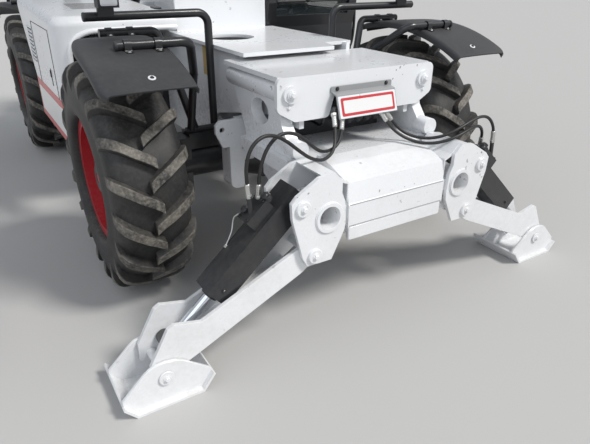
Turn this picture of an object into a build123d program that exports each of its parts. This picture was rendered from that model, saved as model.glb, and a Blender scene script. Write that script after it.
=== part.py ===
from build123d import *
from math import sin, cos, tan, atan2, hypot, radians, degrees, pi, sqrt
import os

# Telehandler with front stabilisers, boom raised, stabilisers down.
# Lengths are in millimetres.  The front of the machine is -Y, its left side is +X, +Z is up.
# Every y below is measured from the front axle; the last step moves the origin to the middle.

# Clearances: FIT between faces that seat on each other, GAP beside what moves
FIT = 0.3
GAP = 5.0

# Tyres
TYRE_R = 622.0
TYRE_W = 400.0
TREAD_DEPTH = 42.0
LUGS_PER_SIDE = 18

# Rims and hubs
RIM_R = 335.0
BEAD_R = 305.0
RIM_HALF = 156.0
RIM_WALL = 18.0
DISC_IN = 60.0
DISC_T = 14.0
DISC_HOLES = 8
DISC_HOLE_R = 30.0
DISC_HOLE_PITCH = 228.0
HUB_R = 140.0
HUB_FACE = 60.0
PLANET_R = 118.0
PLANET_LENGTH = 66.0
HUB_CAP_R = 70.0
HUB_CAP_T = 14.0
SPINDLE_R = 60.0

# Axles and knuckles
TRACK_HALF = 1000.0
WHEELBASE = 2915.0
KINGPIN_X = 840.0
KINGPIN_R = 30.0
KNUCKLE_R = 85.0
KNUCKLE_H = 240.0
YOKE_X = 680.0
AXLE_ARM_X = 410.0
YOKE_T = 40.0
AXLE_TUBE_R = 85.0
DIFF_R = 175.0
DIFF_HALF = 150.0
PINION_R = 75.0
PINION_HALF = 225.0
STEER_ARM = 235.0
STEER_CYL_R = 42.0
STEER_CYL_HALF = 260.0
STEER_ROD_HALF = 520.0
STEER_CYL_Y = 275.0
WHEEL_REACH = hypot(TRACK_HALF + TYRE_W / 2 - KINGPIN_X, TYRE_R)

# Frame
FRAME_HALF = 365.0
FRAME_T = 25.0
FRAME_IN = FRAME_HALF - FRAME_T
FRAME_FRONT = -215.0
FRAME_REAR = WHEELBASE + 935.0
BELLY_Z = 600.0
BELLY_FRONT = 450.0
ARCH_Z = 862.0
ARCH_HALF = 320.0
ARCH_FOOT = 480.0
DECK_Z = 1265.0
DECK_T = 20.0
DECK_HALF = FRAME_HALF + 35.0
DECK_FRONT = -330.0
DECK_HOLE_R = 150.0
DECK_HOLE = (-165.0, 320.0)
BULKHEAD_Y = 780.0
BULKHEAD_T = 20.0
CARRIER_HALF = 192.0
CARRIER_PLATE_T = 25.0
CARRIER_TOP = 960.0
TOWER_TOP = 2090.0

# Front bracket of each side: block and wing plate
BLOCK_X = (FRAME_HALF + 34.0, FRAME_HALF + 122.0)
BLOCK_Y = (-300.0, -190.0)
BLOCK_Z = (525.0, 775.0)
WING_X = FRAME_HALF + 200.0
WING_TOP = 925.0
WING_T = 20.0
WING_HOLE_R = 15.0

# Tail
TAIL_HALF = 820.0
TAIL_T = 190.0
TAIL_REAR = FRAME_REAR + TAIL_T
TAIL_LOW = 640.0
TAIL_TOP = 1200.0
LAMP_X = 610.0
LAMP_HALF = 75.0
LAMP_Z = 1040.0
LAMP_DEPTH = 25.0
HITCH_HALF = 80.0
HITCH_REACH = 160.0
HITCH_Z = 760.0
HITCH_GAP = 60.0
HITCH_PLATE_T = 30.0
HITCH_PIN_R = 20.0

# Nose
NOSE_FRONT = -800.0
NOSE_REAR = FRAME_FRONT
NOSE_WEB_REAR = -100.0
NOSE_TOP = 1222.0
NOSE_LOW = 1015.0
NOSE_T = 25.0
NOSE_PIN = (FRAME_HALF + 41.0, 1146.0)
NOSE_HALF = NOSE_PIN[0] + 69.0
MOUTH_TOP = 1150.0
LINK_HUB_R = 52.0
LINK_T = 62.0
COVER_HALF = 180.0
VALVE_HALF = 150.0

# Stabiliser beam
BEAM_HALF = 298.0
BEAM_FRONT = -1134.0
BEAM_REAR = -330.0
BEAM_TOP = 862.0
BRACKET_FRONT = -1140.0
BRACKET_REAR = -900.0
BRACKET_T = 20.0
TUBE_POS = (410.0, 671.0)
TUBE_R = 70.0
TUBE_BORE = 55.0
RAM_PIN = (550.0, 746.0)
LEG_PIN = (484.0, 501.0)
PIN_R = 22.0

# Stabiliser legs and feet
RAM_Y = (BRACKET_FRONT + BRACKET_REAR) / 2
LEG_HALF = 95.0
LEG_FRONT = RAM_Y - LEG_HALF
LEG_REAR = RAM_Y + LEG_HALF
LEG_T = 20.0
FOOT_PIN = (1208.0, 132.0)
FOOT_T = 12.0
FOOT_FRONT = -1160.0
FOOT_LENGTH = 330.0

# Leg cylinders: along and up are measured from the ram pin
ROD_EYE = (1150.0, 205.0)
GUARD_W = 126.0
GUARD_H = 116.0
GUARD_WALL = 8.0
GUARD_START = -50.0
GUARD_END = 530.0
BARREL_R = 42.0
BARREL_BORE = 32.0
ROD_R = 24.0
ROD_EYE_R = 34.0
PORT_BLOCK = (70.0, 200.0)
PORT_BLOCK_H = 62.0

# Boom: along and up are measured from its pivot
BOOM_ANGLE = 25.0
BOOM_PIN = (FRAME_REAR - 250.0, 1930.0)
BOOM_PIN_R = 45.0
BOOM_UP = 60.0
BOOM_OUT = (300.0, 420.0, 4800.0)
BOOM_MID = (262.0, 360.0, 4750.0)
BOOM_IN = (224.0, 300.0, 4700.0)
BOOM_WALL = 12.0
BOOM_TAIL = 150.0
BOOM_STEP = (240.0, 240.0)
PAD_LENGTH = 160.0
COLLAR_LENGTH = 110.0
COLLAR_T = 12.0
DUCT_W = 60.0
DUCT_H = 110.0

# Boom head, coupler and forks
HEAD_T = 30.0
HEAD_PIN_ALONG = 380.0
HEAD_PIN_UP = -460.0
HEAD_PIN_R = 30.0
TILT_PIN_ALONG = 60.0
TILT_PIN_UP = 20.0
TILT_PIN_R = 20.0
TILT_EYE = (60.0, 200.0)
TILT_BARREL_R = 45.0
TILT_BORE = 36.0
TILT_BARREL_LENGTH = 385.0
TILT_ROD_R = 22.0
TILT_PISTON = (190.0, 226.0)
COUPLER_FACE = 160.0
COUPLER_T = 30.0
COUPLER_HALF = 460.0
COUPLER_Z = (-180.0, 240.0)
CARRIAGE_HALF = 600.0
CARRIAGE_T = 45.0
FORK_X = 450.0
FORK_W = 120.0
FORK_T = 40.0
FORK_LENGTH = 1150.0

# Lift cylinder
LIFT_BASE = (WHEELBASE + 285.0, 1050.0)
LIFT_ALONG = 1400.0
LIFT_DOWN = -290.0
LIFT_PIN_R = 35.0
LIFT_BARREL_R = 80.0
LIFT_BORE = 62.0
LIFT_BARREL_LENGTH = 1040.0
LIFT_ROD_R = 42.0
LIFT_EYE_R = 62.0
LIFT_EAR_X = 90.0
LIFT_EAR_T = 25.0

# Cab
CAB_IN = FRAME_HALF + FIT
CAB_OUT = 1160.0
CAB_FRONT = 800.0
CAB_REAR = WHEELBASE - WHEEL_REACH - 76.0
CAB_LOW = 640.0
CAB_TOP = 2470.0
CAB_WALL = 45.0
CAB_BEND = 1420.0
CAB_NOSE = 40.0
GLASS_T = 6.0
PILLAR = 70.0
ROOF_T = 55.0
SILL_Z = 1330.0
DOOR_FRONT = CAB_FRONT + 75.0
DOOR_REAR = CAB_REAR - 75.0
DOOR_LOW = 720.0
DOOR_TOP = 2370.0
DOOR_LEAN = 130.0
DOOR_BEND = 1400.0
DOOR_FRAME = 80.0
DOOR_RAIL = (1230.0, 1340.0)
HINGE_R = 9.0
HINGE = (CAB_OUT + 14.0, DOOR_REAR + 8.0)
HINGE_Z = (950.0, 2150.0)
SEAT_X = (CAB_IN + CAB_OUT) / 2
SEAT_HALF = 240.0
SEAT_TOP = 1110.0
SEAT_REAR = CAB_REAR - 110.0
STEER_WHEEL_R = 180.0
STEER_WHEEL = (CAB_FRONT + 395.0, 1330.0)

# Fenders, each a thin arc over its tyre, and the bent tubes over the front ones
FENDER_R = 1270.0
FENDER_Y = -107.0
FENDER_Z = 2 * TYRE_R + 101.0
FENDER_X = (TRACK_HALF - 210.0, TRACK_HALF + 205.0)
FENDER_ENDS = (-690.0, 290.0)
FENDER_T = 8.0
FENDER_LIP = 32.0
GUARD_R = 22.0
GUARD_BASE_R = 24.0
GUARD_BASE_Z = TYRE_R + 183.0
GUARD_RAIL_Y = 50.0
GUARD_RAIL_Z = 1435.0
GUARD_RAIL_X = DECK_HALF + GUARD_R + FIT
HEADLAMP = (970.0, 1530.0)

# Hood and engine
HOOD_OUT = 1140.0
HOOD_IN = FRAME_HALF + FIT
HOOD_FRONT = WHEEL_REACH - 29.0
HOOD_REAR = WHEELBASE - 765.0
HOOD_FOOT_REAR = HOOD_REAR - 360.0
HOOD_TOP = 1385.0
HOOD_RISE = 60.0
HOOD_WALL = 18.0
HOOD_MOUTH = 1060.0
ENGINE_FRONT = 1000.0
EXHAUST = (-520.0, HOOD_REAR - 190.0)
EXHAUST_R = 38.0
EXHAUST_HEIGHT = 420.0

# Tank and mirror
TANK_X = (450.0, 1120.0)
TANK_Y = (CAB_FRONT + 50.0, CAB_REAR - 170.0)
TANK_LOW = 400.0
MIRROR_Z = 2000.0
MIRROR_REACH = 130.0

# Hose routes, chosen by hand, each from the valve block to its ram's port block.
# The last column is how far the adaptor at the ram's end reaches into that block.
HOSE_R = 8.0
ADAPTOR_R = 11.0
ADAPTOR_REACH = 40.0
HOSES = {
    "hose_right_a": ([(-200, -858, 1030), (-213, -897, 950), (-258, -944, 890), (-335, -975, 872),
                      (-412, -989, 898), (-482, -1002, 950), (-545, -1012, 1003), (-608, -1024, 1044),
                      (-672, -1033, 1057), (-727, -1040, 1030), (-757, -1042, 972), (-762, -1040, 900),
                      (-751.5, -1035, 820)], 105.0),
    "hose_right_b": ([(-150, -856, 1010), (-168, -884, 940), (-222, -908, 894), (-300, -925, 891),
                      (-370, -950, 930), (-435, -968, 990), (-505, -982, 1032), (-580, -992, 1038),
                      (-640, -1000, 992), (-673, -1005, 925), (-687, -1007, 857), (-690, -1006, 793)], 26.0),
    "hose_left_a": ([(94, -856, 1010), (128, -882, 945), (186, -930, 890), (252, -990, 864),
                     (322, -1045, 869), (392, -1078, 893), (462, -1082, 915), (532, -1070, 928),
                     (596, -1054, 922), (646, -1036, 893), (680, -1018, 849), (690, -1006, 793)], 26.0),
    "hose_left_b": ([(126, -856, 1010), (163, -876, 950), (216, -915, 900), (278, -972, 880),
                     (344, -1025, 890), (408, -1052, 915), (475, -1060, 942), (545, -1056, 962),
                     (615, -1050, 970), (680, -1044, 952), (728, -1039, 905), (747, -1036, 862),
                     (751.5, -1035, 820)], 105.0),
}


def plate_x(points, x, t):
    """Flat plate: (y, z) outline, from x to x + t."""
    return extrude(Plane.YZ.offset(x) * Polygon(*points, align=None), t, dir=(1, 0, 0))


def plate_y(points, y, t):
    """Flat plate: (x, z) outline, from y to y + t."""
    return extrude(Plane.XZ.offset(-y) * Polygon(*points, align=None), t, dir=(0, 1, 0))


def plate_z(points, z, t):
    """Flat plate: (x, y) outline, from z to z + t."""
    return extrude(Plane.XY.offset(z) * Polygon(*points, align=None), t, dir=(0, 0, 1))


def box(x0, x1, y0, y1, z0, z1):
    """Box between two corners."""
    size = (x1 - x0, y1 - y0, z1 - z0)
    middle = ((x0 + x1) / 2, (y0 + y1) / 2, (z0 + z1) / 2)
    return Pos(*middle) * Box(*size)


def bar(start, end, radius):
    """Round bar between two points."""
    a, b = Vector(*start), Vector(*end)
    low = (Align.CENTER, Align.CENTER, Align.MIN)
    return Plane(origin=a, z_dir=b - a) * Cylinder(radius, (b - a).length, align=low)


def bar_y(x, z, y0, y1, radius):
    """Round bar along Y."""
    return bar((x, y0, z), (x, y1, z), radius)


def bar_x(y, z, x0, x1, radius):
    """Round bar along X."""
    return bar((x0, y, z), (x1, y, z), radius)


def bent_tube(points, radii, radius):
    """Round tube along straight runs joined by arcs."""
    path = FilletPolyline(*points, radius=radii)
    return sweep(Plane(origin=path @ 0, z_dir=path % 0) * Circle(radius), path=path)


def mirrored(shape):
    """The same shape on the machine's other side."""
    return mirror(shape, about=Plane.YZ)


def both(shape):
    """A shape fused with its mirror image across the machine."""
    return shape + mirrored(shape)


def whole(*solids):
    """Several solids that share a node."""
    return solids[0] + list(solids[1:])


def tyre():
    """Carcass turned from one profile, with a staggered row of slanted lugs on each half."""
    half = TYRE_W / 2
    tread = TYRE_R - TREAD_DEPTH
    bead = RIM_HALF - 10
    side = [(bead, BEAD_R), (bead, RIM_R + 3), (half - 22, RIM_R + 15), (half, RIM_R + 95),
            (half - 4, tread - 60), (half - 30, tread)]
    profile = side + [(-x, r) for x, r in reversed(side)]
    body = revolve(Plane.XY * Polygon(*profile, align=None), Axis.X, 360)
    lug = [(-6, -62), (-6, -14), (90, 32), (half - 3, 52), (half - 3, 4), (100, -16)]
    low = tread - 62
    lugs = []
    for side_sign, phase in ((1, 0.0), (-1, 0.5)):
        outline = [(side_sign * x, s) for x, s in lug]
        bar_solid = plate_z(outline, low, TYRE_R - low)
        for i in range(LUGS_PER_SIDE):
            turn = 360.0 * (i + phase) / LUGS_PER_SIDE
            lugs.append(Rot(turn, 0, 0) * bar_solid)
    return body + lugs


def rim():
    """Barrel, flanges, pressed disc and planet hub."""
    bead = RIM_HALF - 10 + FIT
    inner = BEAD_R - FIT - RIM_WALL
    outer = BEAD_R - FIT
    barrel = [(-RIM_HALF, inner), (-RIM_HALF, RIM_R), (-bead, RIM_R), (-bead, outer),
              (bead, outer), (bead, RIM_R), (RIM_HALF, RIM_R), (RIM_HALF, inner)]
    body = revolve(Plane.XY * Polygon(*barrel, align=None), Axis.X, 360)
    face = DISC_IN + DISC_T
    disc = bar_x(0, 0, DISC_IN, face, inner + 4)
    for i in range(DISC_HOLES):
        a = 2 * pi * i / DISC_HOLES
        y, z = DISC_HOLE_PITCH * cos(a), DISC_HOLE_PITCH * sin(a)
        disc -= bar_x(y, z, DISC_IN - 5, face + 5, DISC_HOLE_R)
    hub = bar_x(0, 0, -HUB_FACE, DISC_IN, HUB_R)
    hub += bar_x(0, 0, DISC_IN, DISC_IN + PLANET_LENGTH, PLANET_R)
    hub += bar_x(0, 0, DISC_IN + PLANET_LENGTH, DISC_IN + PLANET_LENGTH + HUB_CAP_T, HUB_CAP_R)
    hub -= bar_x(0, 0, -HUB_FACE - 1, -HUB_FACE + 42, SPINDLE_R + FIT)
    return body + disc + hub


def wheel_place(axle_y):
    """Where the left wheel of an axle stands."""
    return Pos(TRACK_HALF, axle_y, TYRE_R)


def knuckle(axle_y, arm_side):
    """Steering knuckle on its kingpin, with the wheel spindle and the steering arm."""
    k = KINGPIN_X
    z = TYRE_R
    half = KNUCKLE_H / 2
    body = bar((k, axle_y, z - half), (k, axle_y, z + half), KNUCKLE_R)
    body += bar((k, axle_y, z - half - YOKE_T), (k, axle_y, z + half + YOKE_T), KINGPIN_R)
    body += bar_x(axle_y, z, k, TRACK_HALF - HUB_FACE - 1, KNUCKLE_R + 10)
    body += bar_x(axle_y, z, k, TRACK_HALF - HUB_FACE + 40, SPINDLE_R)
    end = axle_y + arm_side * STEER_ARM
    arm = plate_z([(k - 45, axle_y), (k + 45, axle_y), (k + 25, end), (k - 25, end)], z - half + 25, 32)
    return body + arm


def axle(axle_y, arm_side):
    """Beam axle: differential, tapered arms, yokes and the steering cylinder."""
    z = TYRE_R
    k = KINGPIN_X
    half = KNUCKLE_H / 2
    low = (Align.CENTER, Align.CENTER, Align.MIN)
    body = bar_x(axle_y, z, -DIFF_HALF, DIFF_HALF, DIFF_R)
    body += bar_y(0, z, axle_y - PINION_HALF, axle_y + PINION_HALF, PINION_R)
    for s in (1, -1):
        taper = Cone(DIFF_R - 10, AXLE_TUBE_R, AXLE_ARM_X - DIFF_HALF, align=low)
        body += Plane(origin=(s * DIFF_HALF, axle_y, z), z_dir=(s, 0, 0)) * taper
        body += bar_x(axle_y, z, s * DIFF_HALF, s * YOKE_X, AXLE_TUBE_R)
        x0, x1 = sorted((s * (YOKE_X - 55), s * YOKE_X))
        reach = half + YOKE_T + GAP
        body += box(x0, x1, axle_y - 75, axle_y + 75, z - reach, z + reach)
        x0, x1 = sorted((s * (YOKE_X - 40), s * k))
        for z0 in (z + half + GAP, z - half - GAP - YOKE_T):
            ear = box(x0, x1, axle_y - 72, axle_y + 72, z0, z0 + YOKE_T)
            ear += bar((s * k, axle_y, z0), (s * k, axle_y, z0 + YOKE_T), 72)
            ear -= bar((s * k, axle_y, z0 - 1), (s * k, axle_y, z0 + YOKE_T + 1), KINGPIN_R + FIT)
            body += ear
    cyl_y = axle_y + arm_side * STEER_CYL_Y
    body += bar_x(cyl_y, z - 60, -STEER_CYL_HALF, STEER_CYL_HALF, STEER_CYL_R)
    body += bar_x(cyl_y, z - 60, -STEER_ROD_HALF, STEER_ROD_HALF, 20)
    y0, y1 = sorted((axle_y, cyl_y))
    for s in (1, -1):
        x = s * (STEER_CYL_HALF - 60)
        body += box(x - 20, x + 20, y0, y1, z - 75, z - 45)
    return body


def frame():
    """Two long side plates with deck, belly, bulkheads, axle carriers and the boom tower."""
    top = DECK_Z - 5
    belly_rear = WHEELBASE - ARCH_FOOT + 5
    pin_y, pin_z = BOOM_PIN
    outline = [(FRAME_FRONT, top), (FRAME_FRONT, 930), (100, ARCH_Z), (BELLY_FRONT, BELLY_Z),
               (belly_rear, BELLY_Z), (WHEELBASE - ARCH_HALF, ARCH_Z), (WHEELBASE + ARCH_HALF, ARCH_Z),
               (WHEELBASE + ARCH_FOOT, BELLY_Z), (FRAME_REAR, BELLY_Z), (FRAME_REAR, 1450),
               (pin_y + 160, TOWER_TOP - 40), (pin_y + 40, TOWER_TOP), (pin_y - 100, TOWER_TOP - 30),
               (pin_y - 420, 1560), (pin_y - 900, 1330), (pin_y - 1400, top)]
    side = plate_x(outline, FRAME_IN, FRAME_T)
    side -= bar_x(pin_y, pin_z, FRAME_IN - 5, FRAME_HALF + 5, BOOM_PIN_R + FIT)
    body = both(side)
    body += box(-FRAME_IN, FRAME_IN, BELLY_FRONT, belly_rear, BELLY_Z, BELLY_Z + BULKHEAD_T)
    base_y, base_z = LIFT_BASE
    for y, z0, z1 in ((BULKHEAD_Y, BELLY_Z, 1480), (belly_rear - 40, BELLY_Z, 1200), (base_y + 100, 880, 1300)):
        body += box(-FRAME_IN, FRAME_IN, y, y + BULKHEAD_T, z0, z1)
    body += carriers(0.0) + carriers(WHEELBASE)
    wing = 170
    deck = plate_z([(-DECK_HALF, DECK_FRONT), (wing, DECK_FRONT), (wing + 45, -175), (DECK_HALF, -175),
                    (DECK_HALF, BULKHEAD_Y), (-DECK_HALF, BULKHEAD_Y)], DECK_Z - DECK_T, DECK_T)
    hole_x, hole_y = DECK_HOLE
    deck -= bar((hole_x, hole_y, DECK_Z - 40), (hole_x, hole_y, DECK_Z + 10), DECK_HOLE_R)
    body += deck
    body += box(-FRAME_IN, FRAME_IN, FRAME_REAR - 330, FRAME_REAR, BELLY_Z, 1250)
    body += both(front_bracket())
    floor_z = base_z - 150
    body += box(-FRAME_IN, FRAME_IN, WHEELBASE + CARRIER_HALF, base_y + 105, floor_z, floor_z + BULKHEAD_T)
    ear = [(base_y - 75, floor_z), (base_y + 95, floor_z), (base_y + 60, base_z + 60), (base_y - 60, base_z + 60)]
    for x in (-LIFT_EAR_X - LIFT_EAR_T, LIFT_EAR_X):
        body += plate_x(ear, x, LIFT_EAR_T)
    reach = LIFT_EAR_X + LIFT_EAR_T
    body += bar_x(base_y, base_z, -reach, reach, LIFT_PIN_R)
    return body


def carriers(axle_y):
    """Two plates across the frame that carry an axle on its pinion housing."""
    body = None
    outline = [(-130, 520), (130, 520), (FRAME_IN, ARCH_Z - 2), (FRAME_IN, CARRIER_TOP),
               (-FRAME_IN, CARRIER_TOP), (-FRAME_IN, ARCH_Z - 2)]
    for y in (axle_y - CARRIER_HALF - CARRIER_PLATE_T, axle_y + CARRIER_HALF):
        plate = plate_y(outline, y, CARRIER_PLATE_T)
        plate -= bar_y(0, TYRE_R, y - 1, y + CARRIER_PLATE_T + 1, PINION_R + FIT)
        body = plate if body is None else body + plate
    return body


def front_bracket():
    """Front bracket of the +X side: a wing plate with its hole, on a block ahead of the axle."""
    x0, x1 = BLOCK_X
    y0, y1 = BLOCK_Y
    z0, z1 = BLOCK_Z
    wing = [(FRAME_IN, z1), (x1 + 40, z1), (WING_X, WING_TOP - 70), (WING_X, WING_TOP - 25),
            (WING_X - 25, WING_TOP), (FRAME_IN, WING_TOP)]
    body = plate_y(wing, y0, WING_T)
    body -= bar_y(WING_X - 38, WING_TOP - 52, y0 - 1, y0 + WING_T + 1, WING_HOLE_R)
    block = box(x0, x1, y0, y1, z0, z1)
    low_edges = block.edges().filter_by(Axis.Y).sort_by(Axis.Z)[:2].sort_by(Axis.X)
    body += fillet(low_edges[-1], 40)
    return body + box(FRAME_IN, x0 + 5, y0, FRAME_FRONT + 40, z0 + 160, WING_TOP - 20)


def tail_weight():
    """Cast counterweight across the tail, with lamp recesses in its rear face."""
    half, y0 = TAIL_HALF, FRAME_REAR
    outline = [(-half, y0), (-half, y0 + 60), (-half + 120, TAIL_REAR), (half - 120, TAIL_REAR),
               (half, y0 + 60), (half, y0)]
    weight = plate_z(outline, TAIL_LOW, TAIL_TOP - TAIL_LOW)
    weight = chamfer(weight.faces().sort_by(Axis.Z)[-1].edges(), 30)
    reach = LAMP_HALF + FIT
    recess = box(LAMP_X - reach, LAMP_X + reach, TAIL_REAR - LAMP_DEPTH, TAIL_REAR + 1,
                 LAMP_Z - 45 - FIT, LAMP_Z + 45 + FIT)
    return weight - both(recess)


def nose():
    """Front box: plate with chamfered lower corners and a mouth, top, webs and pins."""
    h = NOSE_HALF
    half_outline = [(h, NOSE_TOP), (h, 1070), (h - 95, NOSE_LOW), (190, NOSE_LOW), (VALVE_HALF, MOUTH_TOP)]
    outline = half_outline + [(-x, z) for x, z in reversed(half_outline)]
    front = plate_y(outline, NOSE_FRONT, NOSE_T)
    corners = front.edges().filter_by(Axis.Y)
    front = fillet([e for e in corners if abs(e.center().X) > h - 5], 34)
    front = fillet([e for e in front.edges().filter_by(Axis.Y) if abs(e.center().X) < 200], 24)
    y0 = NOSE_FRONT + NOSE_T
    body = front + box(15 - h, h - 15, y0, NOSE_REAR, NOSE_TOP - 22, NOSE_TOP)
    web_in = FRAME_IN - 25
    for x in (-FRAME_IN, web_in):
        body += box(x, x + 25, y0, NOSE_WEB_REAR, 970, NOSE_TOP - 22)
    body += box(-web_in, web_in, NOSE_REAR - 25, NOSE_REAR, 970, NOSE_TOP - 22)
    body += box(-web_in, web_in, -560, -540, 1040, NOSE_TOP - 22)
    x, z = NOSE_PIN
    pin = bar_y(x, z, NOSE_FRONT - 14, NOSE_FRONT, 40) + bar_y(x, z, NOSE_FRONT - 22, NOSE_FRONT, 24)
    return body + both(pin)


def links():
    """Cast links between the nose pins and the beam, each with an oval hole."""
    x, z = NOSE_PIN
    hub = bar_y(x, z, NOSE_FRONT + NOSE_T + FIT, NOSE_REAR - 15, LINK_HUB_R)
    web = plate_x([(-250, z), (-330, 1010), (-395, 900), (-400, BEAM_TOP), (-860, BEAM_TOP),
                   (-850, 905), (-770, 1000), (-735, z)], x - LINK_T / 2, LINK_T)
    hole = extrude(Plane.YZ.offset(x - LINK_T) * Pos(-560, 1025) * Ellipse(90, 62), 2 * LINK_T)
    eye = bar_y(x, BEAM_TOP + 44, BRACKET_REAR + GAP, -800, 44 - FIT)
    return both(hub + web + eye - hole)


def beam():
    """Cross beam with its folded cover, bracket plates, through tubes and pins."""
    b = BEAM_HALF
    profile = [(BEAM_FRONT + 14, 575), (BEAM_FRONT, 591), (BEAM_FRONT, 700), (BEAM_FRONT + 6, 706),
               (BEAM_FRONT + 22, 800), (-980, 845), (-900, BEAM_TOP), (BEAM_REAR, BEAM_TOP),
               (BEAM_REAR, 600), (-500, 519), (-1060, 519)]
    body = plate_x(profile, -b, 2 * b)
    body += plate_x([(-1090, 545), (-600, 530), (-600, 484), (-1050, 484)], 85 - b, 2 * (b - 85))
    x, z = NOSE_PIN
    seat = box(x - 66, x + 64, -870, -400, 790, BEAM_TOP) + box(b - 5, x - 56, -870, -400, 700, BEAM_TOP)
    return body + both(bracket() + seat)


def bracket():
    """Leg bracket of the +X side: two plates, a closing strip, the through tube and two pins."""
    outline = [(390, 880), (345, 833), (345, 776), (325, 730), (318, 630), (324, 589), (390, 455),
               (520, 455), (545, 500), (600, 700), (605, 775), (580, 803), (470, 868)]
    b = BEAM_HALF
    x, z = TUBE_POS
    y0, y1 = BRACKET_FRONT + BRACKET_T, BRACKET_REAR - BRACKET_T
    body = plate_y(outline, BRACKET_FRONT, BRACKET_T) + plate_y(outline, y1, BRACKET_T)
    body += box(b - 5, x - 10, y0, y1, z - 30, z + 30)
    strip = [(b, 800), (345, 820), (390, 866), (440, 860), (446, 871), (388, 880), (336, 832), (b, 812)]
    body += plate_y(strip, y0 - 1, y1 - y0 + 2)
    body += bar_y(x, z, BRACKET_FRONT - 8, BRACKET_REAR + 8, TUBE_R)
    body -= bar_y(x, z, BRACKET_FRONT - 10, BRACKET_REAR + 10, TUBE_BORE)
    for px, pz in (RAM_PIN, LEG_PIN):
        body += bar_y(px, pz, BRACKET_FRONT - 12, BRACKET_REAR + 12, PIN_R)
    return body


def leg():
    """Stabiliser leg of the +X side: an open-topped channel of two plates and a web."""
    pin_x, pin_z = LEG_PIN
    outline = [(pin_x - 30, pin_z - 31), (pin_x - 62, pin_z), (pin_x - 40, pin_z + 49), (pin_x, pin_z + 65),
               (566, 536), (1027, 332), (1149, 360), (1175, 345), (1262, 190), (1262, 105), (1225, 80),
               (1185, 82), (1111, 152), (1044, 181), (538, 413)]
    body = plate_y(outline, LEG_FRONT, LEG_T) + plate_y(outline, LEG_REAR - LEG_T, LEG_T)
    web = [(538, 413), (1044, 181), (1052, 199), (546, 431)]
    body += plate_y(web, LEG_FRONT + LEG_T, 2 * (LEG_HALF - LEG_T))
    body -= bar_y(pin_x, pin_z, LEG_FRONT - 1, LEG_REAR + 1, PIN_R + FIT)
    return body + bar_y(FOOT_PIN[0], FOOT_PIN[1], LEG_FRONT - 30, LEG_REAR + 30, PIN_R)


def foot():
    """Foot of the +X side: a tray with turned-up ends and two ears on the foot pin."""
    t = FOOT_T
    x, z = FOOT_PIN
    tray = [(1000, 75), (1055, 0), (1350, 0), (1400, 60), (1392, 67), (1344, t), (1061, t), (1009, 82)]
    body = plate_y(tray, FOOT_FRONT, FOOT_LENGTH)
    ear = [(1062, t), (1345, t), (1300, 90), (x + 45, z + 33), (x, z + 58), (x - 45, z + 33), (1110, 80)]
    for y in (LEG_FRONT - GAP - t, LEG_REAR + GAP):
        body += plate_y(ear, y, t)
    return body - bar_y(x, z, LEG_FRONT - 40, LEG_REAR + 40, PIN_R + FIT)


def ram_line():
    """Unit direction from the ram pin to the rod eye, and their distance, on the +X side."""
    dx, dz = ROD_EYE[0] - RAM_PIN[0], ROD_EYE[1] - RAM_PIN[1]
    length = hypot(dx, dz)
    return dx / length, dz / length, length


def on_ram(shape):
    """Place a shape drawn along +X from the ram pin."""
    dx, dz, length = ram_line()
    return Pos(RAM_PIN[0], RAM_Y, RAM_PIN[1]) * Rot(0, -degrees(atan2(dz, dx)), 0) * shape


def adaptor(tip, before, reach):
    """Straight adaptor that carries on from a hose's end by the given reach."""
    end, run = Vector(*tip), Vector(*tip) - Vector(*before)
    return bar(tuple(end), tuple(end + run.normalized() * reach), ADAPTOR_R)


def ram_barrel(side):
    """Cylinder barrel inside its square guard, with the port block on top and its hose adaptors."""
    w, h, wall = GUARD_W / 2, GUARD_H / 2, GUARD_WALL
    guard = box(GUARD_START, GUARD_END, -w, w, -h, h)
    guard -= box(GUARD_START + 12, GUARD_END + 5, wall - w, w - wall, wall - h, h - wall)
    barrel = bar((-30, 0, 0), (GUARD_END - 40, 0, 0), BARREL_R)
    barrel += box(GUARD_END - 90, GUARD_END - 60, 2 - w, w - 2, 2 - h, h - 2)
    barrel += box(GUARD_START + 6, 60, 2 - w, w - 2, -32, 32)
    body = guard + barrel
    body -= bar((70, 0, 0), (GUARD_END + 10, 0, 0), BARREL_BORE)
    body -= bar((0, -w - 5, 0), (0, w + 5, 0), PIN_R + FIT)
    body += box(*PORT_BLOCK, -45, 45, h, h + PORT_BLOCK_H)
    body = on_ram(body)
    if side == "right":
        body = mirrored(body)
    for name, (points, reach) in HOSES.items():
        if side in name:
            body += adaptor(points[-1], points[-2], reach)
    return body


def ram_rod():
    """Chrome rod with its piston and eye."""
    length = ram_line()[2]
    rod = bar((420, 0, 0), (length - 20, 0, 0), ROD_R)
    rod += bar((400, 0, 0), (440, 0, 0), BARREL_BORE - 1)
    rod += bar((length, -40, 0), (length, 40, 0), ROD_EYE_R)
    rod += bar((length, -68, 0), (length, 68, 0), 20)
    return on_ram(rod)


def at_boom(along, up, x=0.0):
    """Point on the raised boom: along its axis from the pivot, and up from that axis."""
    a = radians(BOOM_ANGLE)
    y = BOOM_PIN[0] - along * cos(a) + up * sin(a)
    z = BOOM_PIN[1] + along * sin(a) + up * cos(a)
    return (x, y, z)


def on_boom(shape):
    """Place a shape drawn with +Y from the pivot along the boom and +Z up."""
    return Pos(0, BOOM_PIN[0], BOOM_PIN[1]) * Rot(-BOOM_ANGLE, 0, 0) * Rot(0, 0, 180) * shape


def cored(size, y0, y1, grow=0.0):
    """Square block with a boom section's outer size, grown all round."""
    w, h = size[0] / 2 + grow, size[1] / 2 + grow
    return box(-w, w, y0, y1, -h, h)


def section_start(order):
    """Where the outer, middle or inner section starts along the boom."""
    return sum(BOOM_STEP[:order]) - BOOM_TAIL


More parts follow.
